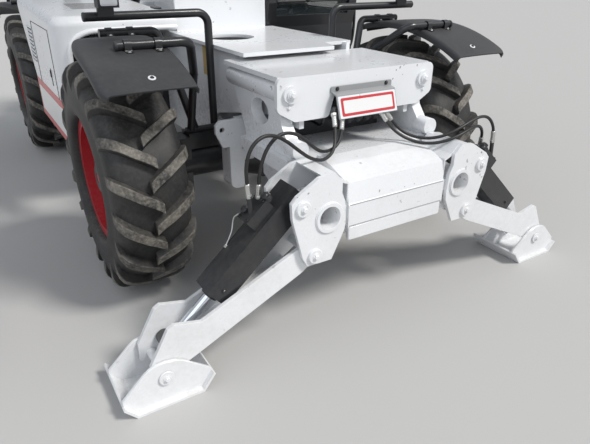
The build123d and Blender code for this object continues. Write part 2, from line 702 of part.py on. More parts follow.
def section(size, start, inside=None, outside=None):
    """Boom section from start along the boom, with wear pads at its mouth and around its tail."""
    wall = BOOM_WALL
    end = start + size[2]
    tube = cored(size, start, end)
    if inside:
        tube += cored(size, end - COLLAR_LENGTH, end, COLLAR_T)
    tube -= cored(size, start - 1, end + 1, -wall)
    if inside:
        pad = end - PAD_LENGTH
        tube += cored(size, pad, end, -wall) - cored(inside, pad - 1, end + 1, FIT)
    if outside:
        pad = start + PAD_LENGTH
        tube += cored(outside, start, pad, -wall - FIT) - cored(size, start - 1, pad + 1, -wall)
    return Pos(0, 0, BOOM_UP) * tube


def boom_outer():
    """Outer section with its tail plate, pivot tube and pin, cylinder lugs and hose duct."""
    w, h, length = BOOM_OUT
    low = BOOM_UP - h / 2
    start = section_start(0)
    body = section(BOOM_OUT, start, inside=BOOM_MID)
    body += box(-w / 2, w / 2, start - 10, start + 10, low, low + h)
    body += bar((GAP - FRAME_IN, 0, 0), (FRAME_IN - GAP, 0, 0), 75)
    body += bar((-FRAME_HALF - 10, 0, 0), (FRAME_HALF + 10, 0, 0), BOOM_PIN_R)
    lug = [(LIFT_ALONG - 170, low), (LIFT_ALONG + 170, low), (LIFT_ALONG + 55, LIFT_DOWN - 50),
           (LIFT_ALONG - 55, LIFT_DOWN - 50)]
    for x in (-LIFT_EAR_X, LIFT_EAR_X - LIFT_EAR_T):
        body += plate_x(lug, x, LIFT_EAR_T)
    boss = bar((LIFT_EAR_X, LIFT_ALONG, LIFT_DOWN), (LIFT_EAR_X + 14, LIFT_ALONG, LIFT_DOWN), 40)
    body += both(boss)
    duct = box(-w / 2 - DUCT_W, -w / 2, 500, length - 700, BOOM_UP - DUCT_H / 2, BOOM_UP + DUCT_H / 2)
    outer_edges = duct.edges().filter_by(Axis.Y).sort_by(Axis.X)[:2]
    body += fillet(outer_edges, 22)
    return on_boom(body)


def boom_middle():
    """Middle section."""
    return on_boom(section(BOOM_MID, section_start(1), BOOM_IN, BOOM_OUT))


def boom_inner():
    """Inner section with the dropped head that carries the coupler and the tilt cylinder."""
    w, h = BOOM_IN[0], BOOM_IN[1]
    top, low = BOOM_UP + h / 2, BOOM_UP - h / 2
    body = section(BOOM_IN, section_start(2), outside=BOOM_MID)
    end = boom_end()
    drop = HEAD_PIN_UP
    head = [(end - 100, top), (end + 260, top - 40), (end + 420, BOOM_UP - 120), (end + 470, drop),
            (end + 400, drop - 80), (end + 290, drop - 40), (end + 220, -180), (end - 60, low)]
    for x in (-w / 2, w / 2 - HEAD_T):
        body += plate_x(head, x, HEAD_T)
    along, up = head_pin()
    body -= bar((-w, along, up), (w, along, up), HEAD_PIN_R + FIT)
    body += box(-w / 2, w / 2, end - 20, end, low, top)
    body += box(-w / 2, w / 2, end + 120, end + 140, BOOM_UP + 30, top - 40)
    along, up = tilt_base()
    body += bar((-w / 2 - 10, along, up), (w / 2 + 10, along, up), TILT_PIN_R)
    return on_boom(body)


def boom_end():
    """How far along the boom the inner section's tube ends."""
    return section_start(2) + BOOM_IN[2]


def head_pin():
    """The coupler's pin: along and up on the boom."""
    return boom_end() + HEAD_PIN_ALONG, HEAD_PIN_UP


def tilt_base():
    """The tilt cylinder's base pin: along and up on the boom."""
    return boom_end() + TILT_PIN_ALONG, TILT_PIN_UP


def tilt_eye():
    """The tilt cylinder's rod eye on the coupler, as a point."""
    x, y, z = at_boom(*head_pin())
    return (x, y - TILT_EYE[0], z + TILT_EYE[1])


def tilt_line():
    """Unit direction in (y, z) from the tilt cylinder's base pin to its eye, and their distance."""
    base, eye = at_boom(*tilt_base()), tilt_eye()
    dy, dz = eye[1] - base[1], eye[2] - base[2]
    length = hypot(dy, dz)
    return dy / length, dz / length, length


def on_tilt(shape):
    """Place a shape drawn along +Z from the tilt cylinder's base pin."""
    dy, dz, length = tilt_line()
    return Pos(*at_boom(*tilt_base())) * Rot(-degrees(atan2(dy, dz)), 0, 0) * shape


def tilt_barrel():
    """Tilt cylinder's barrel between the head plates."""
    side = BOOM_IN[0] / 2 - HEAD_T - GAP
    body = bar((0, 0, 0), (0, 0, TILT_BARREL_LENGTH), TILT_BARREL_R) + bar((-side, 0, 0), (side, 0, 0), TILT_BARREL_R)
    body -= bar((-side - 5, 0, 0), (side + 5, 0, 0), TILT_PIN_R + FIT)
    return on_tilt(body - bar((0, 0, 80), (0, 0, TILT_BARREL_LENGTH + 10), TILT_BORE))


def tilt_rod():
    """Tilt cylinder's rod with its piston and eye."""
    length = tilt_line()[2]
    low, high = TILT_PISTON
    body = bar((0, 0, low + 18), (0, 0, length), TILT_ROD_R) + bar((0, 0, low), (0, 0, high), TILT_BORE - 1)
    return on_tilt(body + bar((-25, 0, length), (25, 0, length), 34))


def coupler():
    """Tool coupler hung on the head pin, turned level with the ground."""
    x, y, z = at_boom(*head_pin())
    half = BOOM_IN[0] / 2
    w = half - HEAD_T - GAP
    body = bar_x(y, z, -w, w, 60) + bar_x(y, z, -half - 15, half + 15, HEAD_PIN_R)
    body += box(-w, w, y - COUPLER_FACE, y, z - 60, z + 60)
    body += box(-COUPLER_HALF, COUPLER_HALF, y - COUPLER_FACE - COUPLER_T, y - COUPLER_FACE,
                z + COUPLER_Z[0], z + COUPLER_Z[1])
    clevis = [(-160, 40), (-160, 245), (-95, 255), (-25, 225), (-15, 175), (-60, 40)]
    outline = [(y + dy, z + dz) for dy, dz in clevis]
    return body + both(plate_x(outline, 32, 18))


def forks():
    """Fork carriage and two pallet forks on the coupler."""
    x, y, z = at_boom(*head_pin())
    y -= COUPLER_FACE + COUPLER_T
    low, high = COUPLER_Z
    face = y - CARRIAGE_T
    c = CARRIAGE_HALF
    body = box(-c, c, face, y, z + low, z + low + 100) + box(-c, c, face, y, z + high - 80, z + high)
    for s in (-1, 1):
        body += box(s * 250 - 30, s * 250 + 30, face, y, z + low, z + high)
        x0 = s * FORK_X - FORK_W / 2
        heel = z + low - 60
        body += box(x0, x0 + FORK_W, face - FORK_T, face, heel, z + high + 20)
        blade = [(face - FORK_T, heel), (face - FORK_T, heel + 50), (face - FORK_T - FORK_LENGTH, heel + 15),
                 (face - FORK_T - FORK_LENGTH, heel)]
        body += plate_x(blade, x0, FORK_W)
    return body


def lift_line():
    """Unit direction in (y, z) from the lift cylinder's base pin to its eye, and their distance."""
    x, y, z = at_boom(LIFT_ALONG, LIFT_DOWN)
    dy, dz = y - LIFT_BASE[0], z - LIFT_BASE[1]
    length = hypot(dy, dz)
    return dy / length, dz / length, length


def on_lift(shape):
    """Place a shape drawn along +Z from the lift cylinder's base pin."""
    dy, dz, length = lift_line()
    return Pos(0, LIFT_BASE[0], LIFT_BASE[1]) * Rot(-degrees(atan2(dy, dz)), 0, 0) * shape


def lift_barrel():
    """Lift cylinder's barrel on its base pin."""
    side = LIFT_EAR_X - GAP
    body = bar((0, 0, 0), (0, 0, LIFT_BARREL_LENGTH), LIFT_BARREL_R) + bar((-side, 0, 0), (side, 0, 0), 70)
    body -= bar((-side - 5, 0, 0), (side + 5, 0, 0), LIFT_PIN_R + FIT)
    return on_lift(body - bar((0, 0, 120), (0, 0, LIFT_BARREL_LENGTH + 10), LIFT_BORE))


def lift_rod():
    """Lift cylinder's rod with its piston and eye between the boom's lugs."""
    length = lift_line()[2]
    side = LIFT_EAR_X - LIFT_EAR_T - GAP
    tail = LIFT_BARREL_LENGTH - 520
    body = bar((0, 0, tail + 20), (0, 0, length), LIFT_ROD_R) + bar((0, 0, tail), (0, 0, tail + 60), LIFT_BORE - 1)
    return on_lift(body + bar((-side, 0, length), (side, 0, length), LIFT_EYE_R))


def hood_top(y):
    """Height of the hood's sloped top."""
    return HOOD_TOP + HOOD_RISE * (y - HOOD_FRONT) / (HOOD_REAR - HOOD_FRONT)


def hood_shell(inset, r_side, r_top):
    """Rounded block of the hood, or of its hollow when it is inset by the wall."""
    low = BELLY_Z if inset == 0 else BELLY_Z - 40
    front, rear, foot_rear = HOOD_FRONT + inset, HOOD_REAR - inset, HOOD_FOOT_REAR - inset
    outline = [(front, low), (front, HOOD_TOP - inset), (rear, HOOD_TOP + HOOD_RISE - inset), (rear, 1350),
               (foot_rear, 880), (foot_rear, low)]
    body = plate_x(outline, inset - HOOD_OUT, HOOD_OUT - HOOD_IN - inset)
    edges = body.edges().filter_by(Axis.Z).sort_by(Axis.Y)[:2].sort_by(Axis.X)
    body = fillet(edges[0], r_side)
    return fillet(body.faces().sort_by(Axis.Z)[-1].edges(), r_top)


def hood():
    """Engine hood: rounded shell with a wheel recess at the front and a slanted rear edge."""
    body = hood_shell(0, 120, 60) - hood_shell(HOOD_WALL, 120 - HOOD_WALL, 60 - HOOD_WALL)
    m = HOOD_MOUTH
    mouth = [(-m, 500), (-m, 1180), (40 - m, 1260), (125 - m, 1300), (-200, 1300), (-200, 500)]
    return body - plate_y(mouth, HOOD_FRONT - 50, 110)


def engine():
    """Engine as one plain block."""
    return box(-1000, -HOOD_IN, ENGINE_FRONT, HOOD_FOOT_REAR - 40, 640, 1230)


def exhaust():
    """Silencer on the hood's rear, its pipe bent outwards at the tip."""
    x, y = EXHAUST
    z = hood_top(y)
    foot = bar((x, y, z - 20), (x, y, z + 40), 75)
    foot -= plate_x([(y - 200, z - 100), (y - 200, hood_top(y - 200) + FIT), (y + 150, hood_top(y + 150) + FIT),
                     (y + 150, z - 100)], x - 100, 200)
    tip = z + EXHAUST_HEIGHT
    pipe = bent_tube([(x, y, z + 25), (x, y, tip - 70), (x - 85, y, tip)], [60], EXHAUST_R)
    return foot + pipe + bar((x, y, z + 70), (x, y, z + 270), EXHAUST_R + 26)


def cab_outline(inset):
    """The cab's side outline in (y, z), drawn in by the given inset."""
    i = inset
    return [(CAB_FRONT + i, CAB_LOW + i), (CAB_FRONT + i, CAB_BEND - 170), (CAB_FRONT - CAB_NOSE + i, CAB_BEND),
            (CAB_FRONT + 140 + i, CAB_TOP - i), (CAB_REAR - 60 - i, CAB_TOP - i), (CAB_REAR - i, CAB_BEND + 80),
            (CAB_REAR - i, CAB_LOW + i)]


def door_outline(inset):
    """Door opening in (y, z), its front edge leaning back with the windscreen."""
    i = inset
    return [(DOOR_FRONT + i, DOOR_LOW + i), (DOOR_FRONT + i, DOOR_BEND),
            (DOOR_FRONT + DOOR_LEAN + i, DOOR_TOP - i), (DOOR_REAR - i, DOOR_TOP - i), (DOOR_REAR - i, DOOR_LOW + i)]


def door_windows(inset):
    """Upper and lower window outlines of the door."""
    y0, y1 = DOOR_FRONT + DOOR_FRAME + inset, DOOR_REAR - DOOR_FRAME - inset
    lean = DOOR_LEAN - 10
    top = DOOR_TOP - DOOR_FRAME - inset
    rail_low, rail_high = DOOR_RAIL[0] - inset, DOOR_RAIL[1] + inset
    bend = max(DOOR_BEND, rail_high + 5)
    low = DOOR_LOW + 110 + inset
    upper = [(y0, rail_high), (y0, bend), (y0 + lean, top), (y1, top), (y1, rail_high)]
    lower = [(y0, low), (y0, rail_low), (y1, rail_low), (y1, low)]
    return upper, lower


def side_window(inset):
    """Outline of the cab's inner side window in (y, z)."""
    low, top = SILL_Z - 30 + inset, DOOR_TOP - 30 - inset
    y0, y1 = CAB_FRONT + 110 + inset, CAB_REAR - 100 - inset
    return [(y0, low), (y0 + 50, top), (y1 - 30, top), (y1, low)]


def end_windows(inset):
    """Blocks that cut the windscreen and the rear window."""
    x0, x1 = CAB_IN + PILLAR + inset, CAB_OUT - PILLAR - inset
    front = box(x0, x1, CAB_FRONT - 100, CAB_FRONT + 200, SILL_Z + inset, DOOR_TOP - 20 - inset)
    rear = box(x0, x1, CAB_REAR - 120, CAB_REAR + 50, CAB_BEND - 20 + inset, DOOR_TOP - 70 - inset)
    return front, rear


def cab():
    """Cab shell with cut windows and the door opening on the left side."""
    w = CAB_WALL
    body = plate_x(cab_outline(0), CAB_IN, CAB_OUT - CAB_IN)
    body -= plate_x(cab_outline(w), CAB_IN + w, CAB_OUT - CAB_IN - 2 * w)
    body -= plate_x(door_outline(0), CAB_OUT - w - 5, w + 10)
    for block in end_windows(0):
        body -= block
    body -= plate_x(side_window(0), CAB_IN - 5, w + 10)
    roof = box(CAB_IN, CAB_OUT + 22, CAB_FRONT + 105, CAB_REAR - 20, CAB_TOP - 1, CAB_TOP + ROOF_T)
    roof = fillet(roof.edges().filter_by(Axis.Z), 60)
    body += fillet(roof.faces().sort_by(Axis.Z)[-1].edges(), 26)
    for z in HINGE_Z:
        for dz in (-45, 30):
            body += box(CAB_OUT - 5, CAB_OUT + 25, DOOR_REAR + 1, DOOR_REAR + 45, z + dz, z + dz + 15)
    return body


def cab_glass():
    """Windscreen, side pane and rear pane."""
    depth = 18
    sheet = plate_x(cab_outline(depth), CAB_IN + PILLAR + FIT, CAB_OUT - CAB_IN - 2 * (PILLAR + FIT))
    sheet -= plate_x(cab_outline(depth + GLASS_T), CAB_IN, CAB_OUT - CAB_IN)
    front, rear = [sheet & block for block in end_windows(FIT)]
    return whole(front, plate_x(side_window(FIT), CAB_IN + depth, GLASS_T), rear)


def door():
    """Door panel with its window cuts and two hinge barrels at the rear edge."""
    hinge_x, hinge_y = HINGE
    body = plate_x(door_outline(GAP), CAB_OUT - CAB_WALL, CAB_WALL)
    for outline in door_windows(0):
        body -= plate_x(outline, CAB_OUT - CAB_WALL - 5, CAB_WALL + 10)
    for z in HINGE_Z:
        body += bar((hinge_x, hinge_y, z - 28), (hinge_x, hinge_y, z + 28), HINGE_R)
        body += box(CAB_OUT, hinge_x, DOOR_REAR - 60, hinge_y, z - 26, z + 26)
    return body


def door_glass():
    """Two panes of the door."""
    return whole(*[plate_x(outline, CAB_OUT - 26, GLASS_T) for outline in door_windows(FIT)])


def seat():
    """Driver's seat on its box."""
    x, y = SEAT_X, SEAT_REAR
    h = SEAT_HALF
    base = box(x - h + 60, x + h - 60, y - 530, y - 110, CAB_LOW + CAB_WALL + FIT, SEAT_TOP - 100)
    cushion = box(x - h, x + h, y - 590, y - 80, SEAT_TOP - 100, SEAT_TOP)
    back = plate_x([(y - 160, SEAT_TOP), (y - 80, SEAT_TOP), (y, SEAT_TOP + 590), (y - 70, SEAT_TOP + 590)],
                   x - h + 10, 2 * h - 20)
    return base + cushion + back


def console():
    """Dashboard, steering column and wheel, and pedal block."""
    x = SEAT_X
    wheel_y, wheel_z = STEER_WHEEL
    floor = CAB_LOW + CAB_WALL + FIT
    dash = box(CAB_IN + CAB_WALL + FIT, CAB_OUT - CAB_WALL - 60, CAB_FRONT + CAB_WALL + FIT, CAB_FRONT + 200,
               1020, 1240)
    column = bar((x, CAB_FRONT + 160, floor + 40), (x, wheel_y - 15, wheel_z - 40), 40)
    column += box(x - 70, x + 70, CAB_FRONT + 80, CAB_FRONT + 220, floor, floor + 60)
    tilted = Plane(origin=(x, wheel_y, wheel_z), z_dir=(0, 0.35, 0.94))
    wheel = tilted * Torus(STEER_WHEEL_R, 14) + tilted * Box(2 * STEER_WHEEL_R, 30, 12)
    hub = bar((x, wheel_y - 15, wheel_z - 40), (x, wheel_y, wheel_z), 60)
    return dash + column + wheel + hub


def fender(y_end):
    """One fender arc over the left front tyre, with a rolled lip at each side."""
    r, top_y, top_z = FENDER_R, FENDER_Y, FENDER_Z
    x0, x1 = FENDER_X
    ring = bar_x(top_y, top_z - r, x0, x1, r) - bar_x(top_y, top_z - r, x0 - 1, x1 + 1, r - FENDER_T)
    for x in (x0, x1 - FENDER_T):
        lip = bar_x(top_y, top_z - r, x, x + FENDER_T, r - 1)
        ring += lip - bar_x(top_y, top_z - r, x - 1, x + FENDER_T + 1, r - FENDER_LIP)
    return ring & box(x0, x1, FENDER_ENDS[0], y_end, top_z - 300, top_z + 10)


def fenders():
    """Four curved fenders."""
    arc = fender(FENDER_ENDS[1])
    pair = whole(arc, Pos(0, WHEELBASE, 0) * mirror(arc, about=Plane.XZ))
    return whole(pair, mirrored(pair))


def over_fender(y):
    """Height of a guard tube's centre where it rests on the fender's arc."""
    reach = FENDER_R + GUARD_R + FIT
    return FENDER_Z - FENDER_R + sqrt(reach ** 2 - (y - FENDER_Y) ** 2)


def guards():
    """Bent tubes over the front axle that carry the fenders and lamp brackets, and the rear stays."""
    r = GUARD_R
    z0 = GUARD_BASE_Z
    c = GUARD_RAIL_X
    front_z, rear_z = over_fender(-350), over_fender(110)
    base = bar((c, 0, z0), (618, 0, z0), GUARD_BASE_R)
    front = bent_tube([(590, 0, z0), (585, -100, 1150), (690, -350, front_z), (1040, -350, front_z)], [90, 70], r)
    back = bent_tube([(560, 0, z0), (640, 70, 1150), (700, 110, rear_z), (1000, 110, rear_z)], [90, 45], r)
    y, z = GUARD_RAIL_Y, GUARD_RAIL_Z
    rail = bent_tube([(c, y, z0 - 15), (c, y, z), (1075, y, z)], [62], r)
    lamp_x, lamp_z = HEADLAMP
    lamp = box(lamp_x - 40, lamp_x + 40, y - 26, y - 6, z, lamp_z + 70)
    block = box(AXLE_ARM_X + 1, 618, -40, 80, TYRE_R + AXLE_TUBE_R + FIT, z0 - 5)
    stays = []
    for dy in (-60, 280):
        stays.append(bar_x(WHEELBASE + dy, over_fender(-dy), FRAME_HALF + FIT, 1120, r))
    return both(whole(base + front + rail + back + lamp + block, *stays))


def valve_cover():
    """Folded plate over the nose's mouth."""
    outline = [(-844, 1120), (-878, 1017), (-872, 1015), (-838, 1118), (NOSE_FRONT, 1128), (NOSE_FRONT, 1134),
               (-842, 1126)]
    return plate_x(outline, -COVER_HALF, 2 * COVER_HALF)


def valve_block():
    """Valve block in the nose's mouth, its manifold and the hoses' adaptors."""
    v = VALVE_HALF
    body = box(-v, v, NOSE_FRONT - 30, -560 - FIT, 1030, 1100) + box(-v, v, NOSE_FRONT - 50, NOSE_FRONT - 25, 1034, 1070)
    for points, reach in HOSES.values():
        body += adaptor(points[0], points[1], ADAPTOR_REACH)
    corner = Vector(*HOSES["hose_right_a"][0][0]) + Vector(6, 15, 34)
    return body + bar((5 - v, -838, 1058), tuple(corner), ADAPTOR_R)


def tank():
    """Fuel tank under the cab, with two steps let into its outer side."""
    (x0, x1), (y0, y1) = TANK_X, TANK_Y
    body = box(x0, x1, y0, y1, TANK_LOW, CAB_LOW - FIT)
    body = fillet(body.edges().filter_by(Axis.Y).sort_by(Axis.Z)[:2], 50)
    for z0, z1 in ((430, 525), (545, 630)):
        body -= box(x1 - 120, x1 + 5, y0 + 200, y0 + 650, z0, z1)
    return body


def lamps():
    """Rear lamps in the tail's recesses and front lamps on the guard tubes' brackets."""
    rear = box(LAMP_X - LAMP_HALF, LAMP_X + LAMP_HALF, TAIL_REAR - LAMP_DEPTH + FIT, TAIL_REAR + 12,
               LAMP_Z - 45, LAMP_Z + 45)
    x, z = HEADLAMP
    y = GUARD_RAIL_Y - 26 - FIT
    head = box(x - 50, x + 50, y - 74, y, z - 50, z + 50)
    return whole(rear, mirrored(rear), head, mirrored(head))


def hitch():
    """Tow hitch: two plates with a pin hole."""
    y, h = TAIL_REAR, HITCH_HALF
    low = HITCH_Z - HITCH_GAP / 2 - HITCH_PLATE_T
    high = HITCH_Z + HITCH_GAP / 2 + HITCH_PLATE_T
    body = box(-h, h, y, y + HITCH_REACH, low, high)
    body -= box(-h - 1, h + 1, y + 30, y + HITCH_REACH + 1, low + HITCH_PLATE_T, high - HITCH_PLATE_T)
    return body - bar((0, y + 100, low - 5), (0, y + 100, high + 5), HITCH_PIN_R)


def mirror_arm():
    """Mirror on its bent arm at the cab's front corner."""
    x, y, z = CAB_OUT + FIT, CAB_FRONT + 107, MIRROR_Z
    out = x + MIRROR_REACH
    arm = bent_tube([(x, y, z), (out, y, z), (out, y - 107, z), (out, y - 107, z - 200)], [50, 50], 12)
    return arm + box(out - 70, out + 70, y - 137, y - 107, z - 240, z + 10)


def hose(points):
    """Plain tube along the route, each arc as large as its two runs allow."""
    radii = []
    for a, b, c in zip(points, points[1:], points[2:]):
        p, q, r = Vector(*a), Vector(*b), Vector(*c)
        turn = radians((q - p).get_angle(r - q))
        run = min((q - p).length, (r - q).length)
        radii.append(0.45 * run / tan(turn / 2))
    print("hose radii", [round(x) for x in radii], "smallest", round(min(radii)))
    return bent_tube(points, radii, HOSE_R)


def build():
    """All nodes by name, still measured from the front axle."""
    nodes = {
        "chassis_frame": frame(),
        "tail_weight": tail_weight(),
        "nose_box": nose(),
        "levelling_links": links(),
        "stabiliser_beam": beam(),
        "valve_cover": valve_cover(),
        "valve_block": valve_block(),
        "engine_hood": hood(),
        "engine_block": engine(),
        "exhaust": exhaust(),
        "cab_frame": cab(),
        "cab_glass": cab_glass(),
        "cab_seat": seat(),
        "cab_console": console(),
        "cab_door": door(),
        "door_glass": door_glass(),
        "fenders": fenders(),
        "guard_tubes": guards(),
        "fuel_tank": tank(),
        "lamps": lamps(),
        "tow_hitch": hitch(),
        "mirror": mirror_arm(),
        "axle_front": axle(0.0, 1),
        "axle_rear": axle(WHEELBASE, -1),
        "boom_outer": boom_outer(),
        "boom_middle": boom_middle(),
        "boom_inner": boom_inner(),
        "tilt_barrel": tilt_barrel(),
        "tilt_rod": tilt_rod(),
        "tool_coupler": coupler(),
        "pallet_forks": forks(),
        "lift_barrel": lift_barrel(),
        "lift_rod": lift_rod(),
    }
    one_tyre, one_rim = tyre(), rim()
    for end, y, arm_side in (("front", 0.0, 1), ("rear", WHEELBASE, -1)):
        place = wheel_place(y)
        for name, shape in (("tyre", place * one_tyre), ("rim", place * one_rim), ("knuckle", knuckle(y, arm_side))):
            nodes[f"{name}_{end}_left"] = shape
            nodes[f"{name}_{end}_right"] = mirrored(shape)
    for name, shape in (("leg", leg()), ("foot", foot()), ("ram_rod", ram_rod())):
        nodes[f"{name}_left"] = shape
        nodes[f"{name}_right"] = mirrored(shape)
    for side in ("left", "right"):
        nodes[f"ram_barrel_{side}"] = ram_barrel(side)
    for name, (points, reach) in HOSES.items():
        nodes[name] = hose(points)
    return nodes


def origin_shift(nodes):
    """How far back the middle of the machine's length lies, so that it becomes y = 0."""
    boxes = [shape.bounding_box() for name, shape in nodes.items() if name not in HOSES]
    front = min(b.min.Y for b in boxes)
    rear = max(b.max.Y for b in boxes)
    print("length", round(rear - front, 1), "front axle y", round(-(front + rear) / 2, 3))
    return -(front + rear) / 2


def main():
    """Build every node, move the origin to the machine's middle and write the STEP files."""
    os.makedirs("parts", exist_ok=True)
    nodes = build()
    shift = origin_shift(nodes)
    for name, shape in nodes.items():
        export_step(Pos(0, shift, 0) * shape, f"parts/{name}.step")
    return nodes, shift


nodes, shift = main()
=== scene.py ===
# %% [markdown]
# Telehandler with front stabilisers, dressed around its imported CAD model. The model comes in first, as a
# fixed frame in metres: -Y is the front of the machine, +X its left side, +Z is up. Nothing of that frame is
# moved. Every cell after this one either gives a CAD node its finish or adds a piece that rides on a body.

# %% Load the frame
import bpy
import numpy as np
from math import asin, cos, pi, radians, sin, sqrt
from mathutils import Matrix


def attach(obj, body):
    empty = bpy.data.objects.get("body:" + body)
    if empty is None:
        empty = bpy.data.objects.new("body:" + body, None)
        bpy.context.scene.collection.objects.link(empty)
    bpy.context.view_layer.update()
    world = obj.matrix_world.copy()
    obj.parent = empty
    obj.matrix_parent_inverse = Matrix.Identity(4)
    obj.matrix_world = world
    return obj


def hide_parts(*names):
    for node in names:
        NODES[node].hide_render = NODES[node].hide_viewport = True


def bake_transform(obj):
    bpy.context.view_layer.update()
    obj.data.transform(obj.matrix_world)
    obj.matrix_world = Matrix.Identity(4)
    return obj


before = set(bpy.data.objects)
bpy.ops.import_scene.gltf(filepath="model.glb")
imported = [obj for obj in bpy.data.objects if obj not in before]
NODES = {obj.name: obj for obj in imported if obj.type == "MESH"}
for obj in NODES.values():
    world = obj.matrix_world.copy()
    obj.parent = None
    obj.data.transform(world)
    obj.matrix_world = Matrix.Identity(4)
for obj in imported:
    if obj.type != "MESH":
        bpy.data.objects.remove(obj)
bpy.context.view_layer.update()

# %% [markdown]
# The machine's own measures, repeated from the CAD in metres. AXLE_Y is the front axle's place along the
# machine, and most of the pieces below are placed from it, as the CAD does.

# %% Measures of the machine
AXLE_Y = -0.638735
WHEELBASE = 2.915
TRACK_HALF = 1.0
TYRE_R = 0.622
LEFT_RIGHT = (("left", 1), ("right", -1))
AXLES = (("front", 0.0), ("rear", WHEELBASE))
FRONT, BACK, LEFT, RIGHT, UP, DOWN = (0, -1, 0), (0, 1, 0), (1, 0, 0), (-1, 0, 0), (0, 0, 1), (0, 0, -1)


def at(x, y, z):
    """A point given from the front axle, in the frame's own place."""
    return np.array([x, AXLE_Y + y, z])

# %% [markdown]
# The camera stands at the machine's right front corner, a little above the hood, and looks down at the
# stabilisers, as the photographer did. Its place and turn were solved from the tyres, whose size is known.
# A level stand with a small roll gives the same tilt of the upright edges.

# %% Camera
CAMERA_AT = (-1.649, AXLE_Y - 2.836, 1.673)
YAW, PITCH, ROLL = radians(32.01), radians(26.05), 0.00726


def camera_matrix(at, yaw, pitch, roll):
    """Columns right, up and backward: forward is (sin yaw cos pitch, cos yaw cos pitch, -sin pitch)."""
    forward = np.array([sin(yaw) * cos(pitch), cos(yaw) * cos(pitch), -sin(pitch)])
    right = np.array([cos(yaw), -sin(yaw), 0.0])
    up = np.cross(right, forward)
    m = np.eye(4)
    m[:3, 0] = right * cos(roll) + up * sin(roll)
    m[:3, 1] = up * cos(roll) - right * sin(roll)
    m[:3, 2] = -forward
    m[:3, 3] = at
    return m


camera_data = bpy.data.cameras.new("camera")
camera_data.sensor_fit = "HORIZONTAL"
camera_data.sensor_width = 36.0
camera_data.lens = 32.13
camera_data.clip_end = 200.0
camera = bpy.data.objects.new("camera", camera_data)
bpy.context.collection.objects.link(camera)
camera.matrix_world = Matrix(camera_matrix(CAMERA_AT, YAW, PITCH, ROLL))
bpy.context.scene.camera = camera
print("camera lens", camera_data.lens)

# %% [markdown]
# Shaders are written as sums. A Value wraps one output socket, and an operator on it adds the Math node that
# the sum needs, so a mask reads like a formula. Finish is one material: its node method makes any node from
# its type, its settings and its inputs.

# %% A small language for shaders


class Value:
    """One number socket of a finish; operators add Math nodes."""

    def __init__(self, finish, socket):
        self.finish = finish
        self.socket = socket

    def math(self, operation, *others, clamp=False):
        node = self.finish.node("ShaderNodeMath", {"operation": operation, "use_clamp": clamp},
                                dict(enumerate((self,) + others)))
        return Value(self.finish, node.outputs[0])

    def __add__(self, other):
        return self.math("ADD", other)

    def __mul__(self, other):
        return self.math("MULTIPLY", other)

    def __rsub__(self, other):
        return (self * -1.0) + other

    __radd__ = __add__
    __rmul__ = __mul__

    def step(self, low, high):
        """0 below low, 1 above high, a straight ramp between, smoothed."""
        node = self.finish.node("ShaderNodeMapRange", {"interpolation_type": "SMOOTHSTEP"},
                                {0: self, 1: low, 2: high, 3: 0.0, 4: 1.0})
        return Value(self.finish, node.outputs[0])


class Finish:
    """One procedural material on Object coordinates."""

    def __init__(self, name, **sockets):
        self.material = bpy.data.materials.new(name)
        self.material.use_nodes = True
        self.tree = self.material.node_tree
        self.shader = self.tree.nodes["Principled BSDF"]
        self.put(**sockets)
        self.place = self.node("ShaderNodeTexCoord", {}, {}).outputs["Object"]

    def node(self, kind, settings, inputs):
        node = self.tree.nodes.new(kind)
        for key, value in settings.items():
            setattr(node, key, value)
        for key, value in inputs.items():
            self.feed(node.inputs[key], value)
        return node

    def feed(self, socket, value):
        if isinstance(value, Value):
            value = value.socket
        if isinstance(value, bpy.types.NodeSocket):
            self.tree.links.new(value, socket)
        else:
            socket.default_value = value

    def put(self, **sockets):
        for key, value in sockets.items():
            self.feed(self.shader.inputs[key.replace("_", " ")], value)

    def noise(self, scale, detail=3.0, rough=0.55):
        """Cloudy pattern from 0 to 1; scale is in repeats a metre."""
        node = self.node("ShaderNodeTexNoise", {}, {"Vector": self.place, "Scale": scale, "Detail": detail,
                                                    "Roughness": rough})
        return Value(self, node.outputs[0])

    def axis(self, index):
        node = self.node("ShaderNodeSeparateXYZ", {}, {0: self.place})
        return Value(self, node.outputs[index])

    def facing_up(self):
        """Upward share of the surface's normal."""
        normal = self.node("ShaderNodeNewGeometry", {}, {}).outputs["Normal"]
        return Value(self, self.node("ShaderNodeSeparateXYZ", {}, {0: normal}).outputs[2])

    def attribute(self, name):
        node = self.node("ShaderNodeAttribute", {"attribute_name": name}, {})
        return Value(self, node.outputs["Fac"])

    def mix(self, amount, first, second):
        """Colour between first and second by amount."""
        node = self.node("ShaderNodeMix", {"data_type": "RGBA"}, {0: amount})
        self.feed(node.inputs[6], rgb(first))
        self.feed(node.inputs[7], rgb(second))
        return node.outputs[2]

    def bump(self, height, strength, distance):
        node = self.node("ShaderNodeBump", {}, {"Strength": strength, "Distance": distance, "Height": height})
        self.feed(self.shader.inputs["Normal"], node.outputs[0])


def rgb(colour):
    """A colour tuple gets its fourth number; a socket stays itself."""
    return (*colour, 1.0) if isinstance(colour, tuple) else colour


# %% [markdown]
# The white paint is a gloss over steel plate. On this machine it is clean and slightly cool, with thin road
# dust on what faces up and a grey film low down, near the wheels. Two noises break the dust, and a fine
# ripple in the normal stands for the sprayed coat.

# %% White paint
DUST = (0.42, 0.38, 0.32)


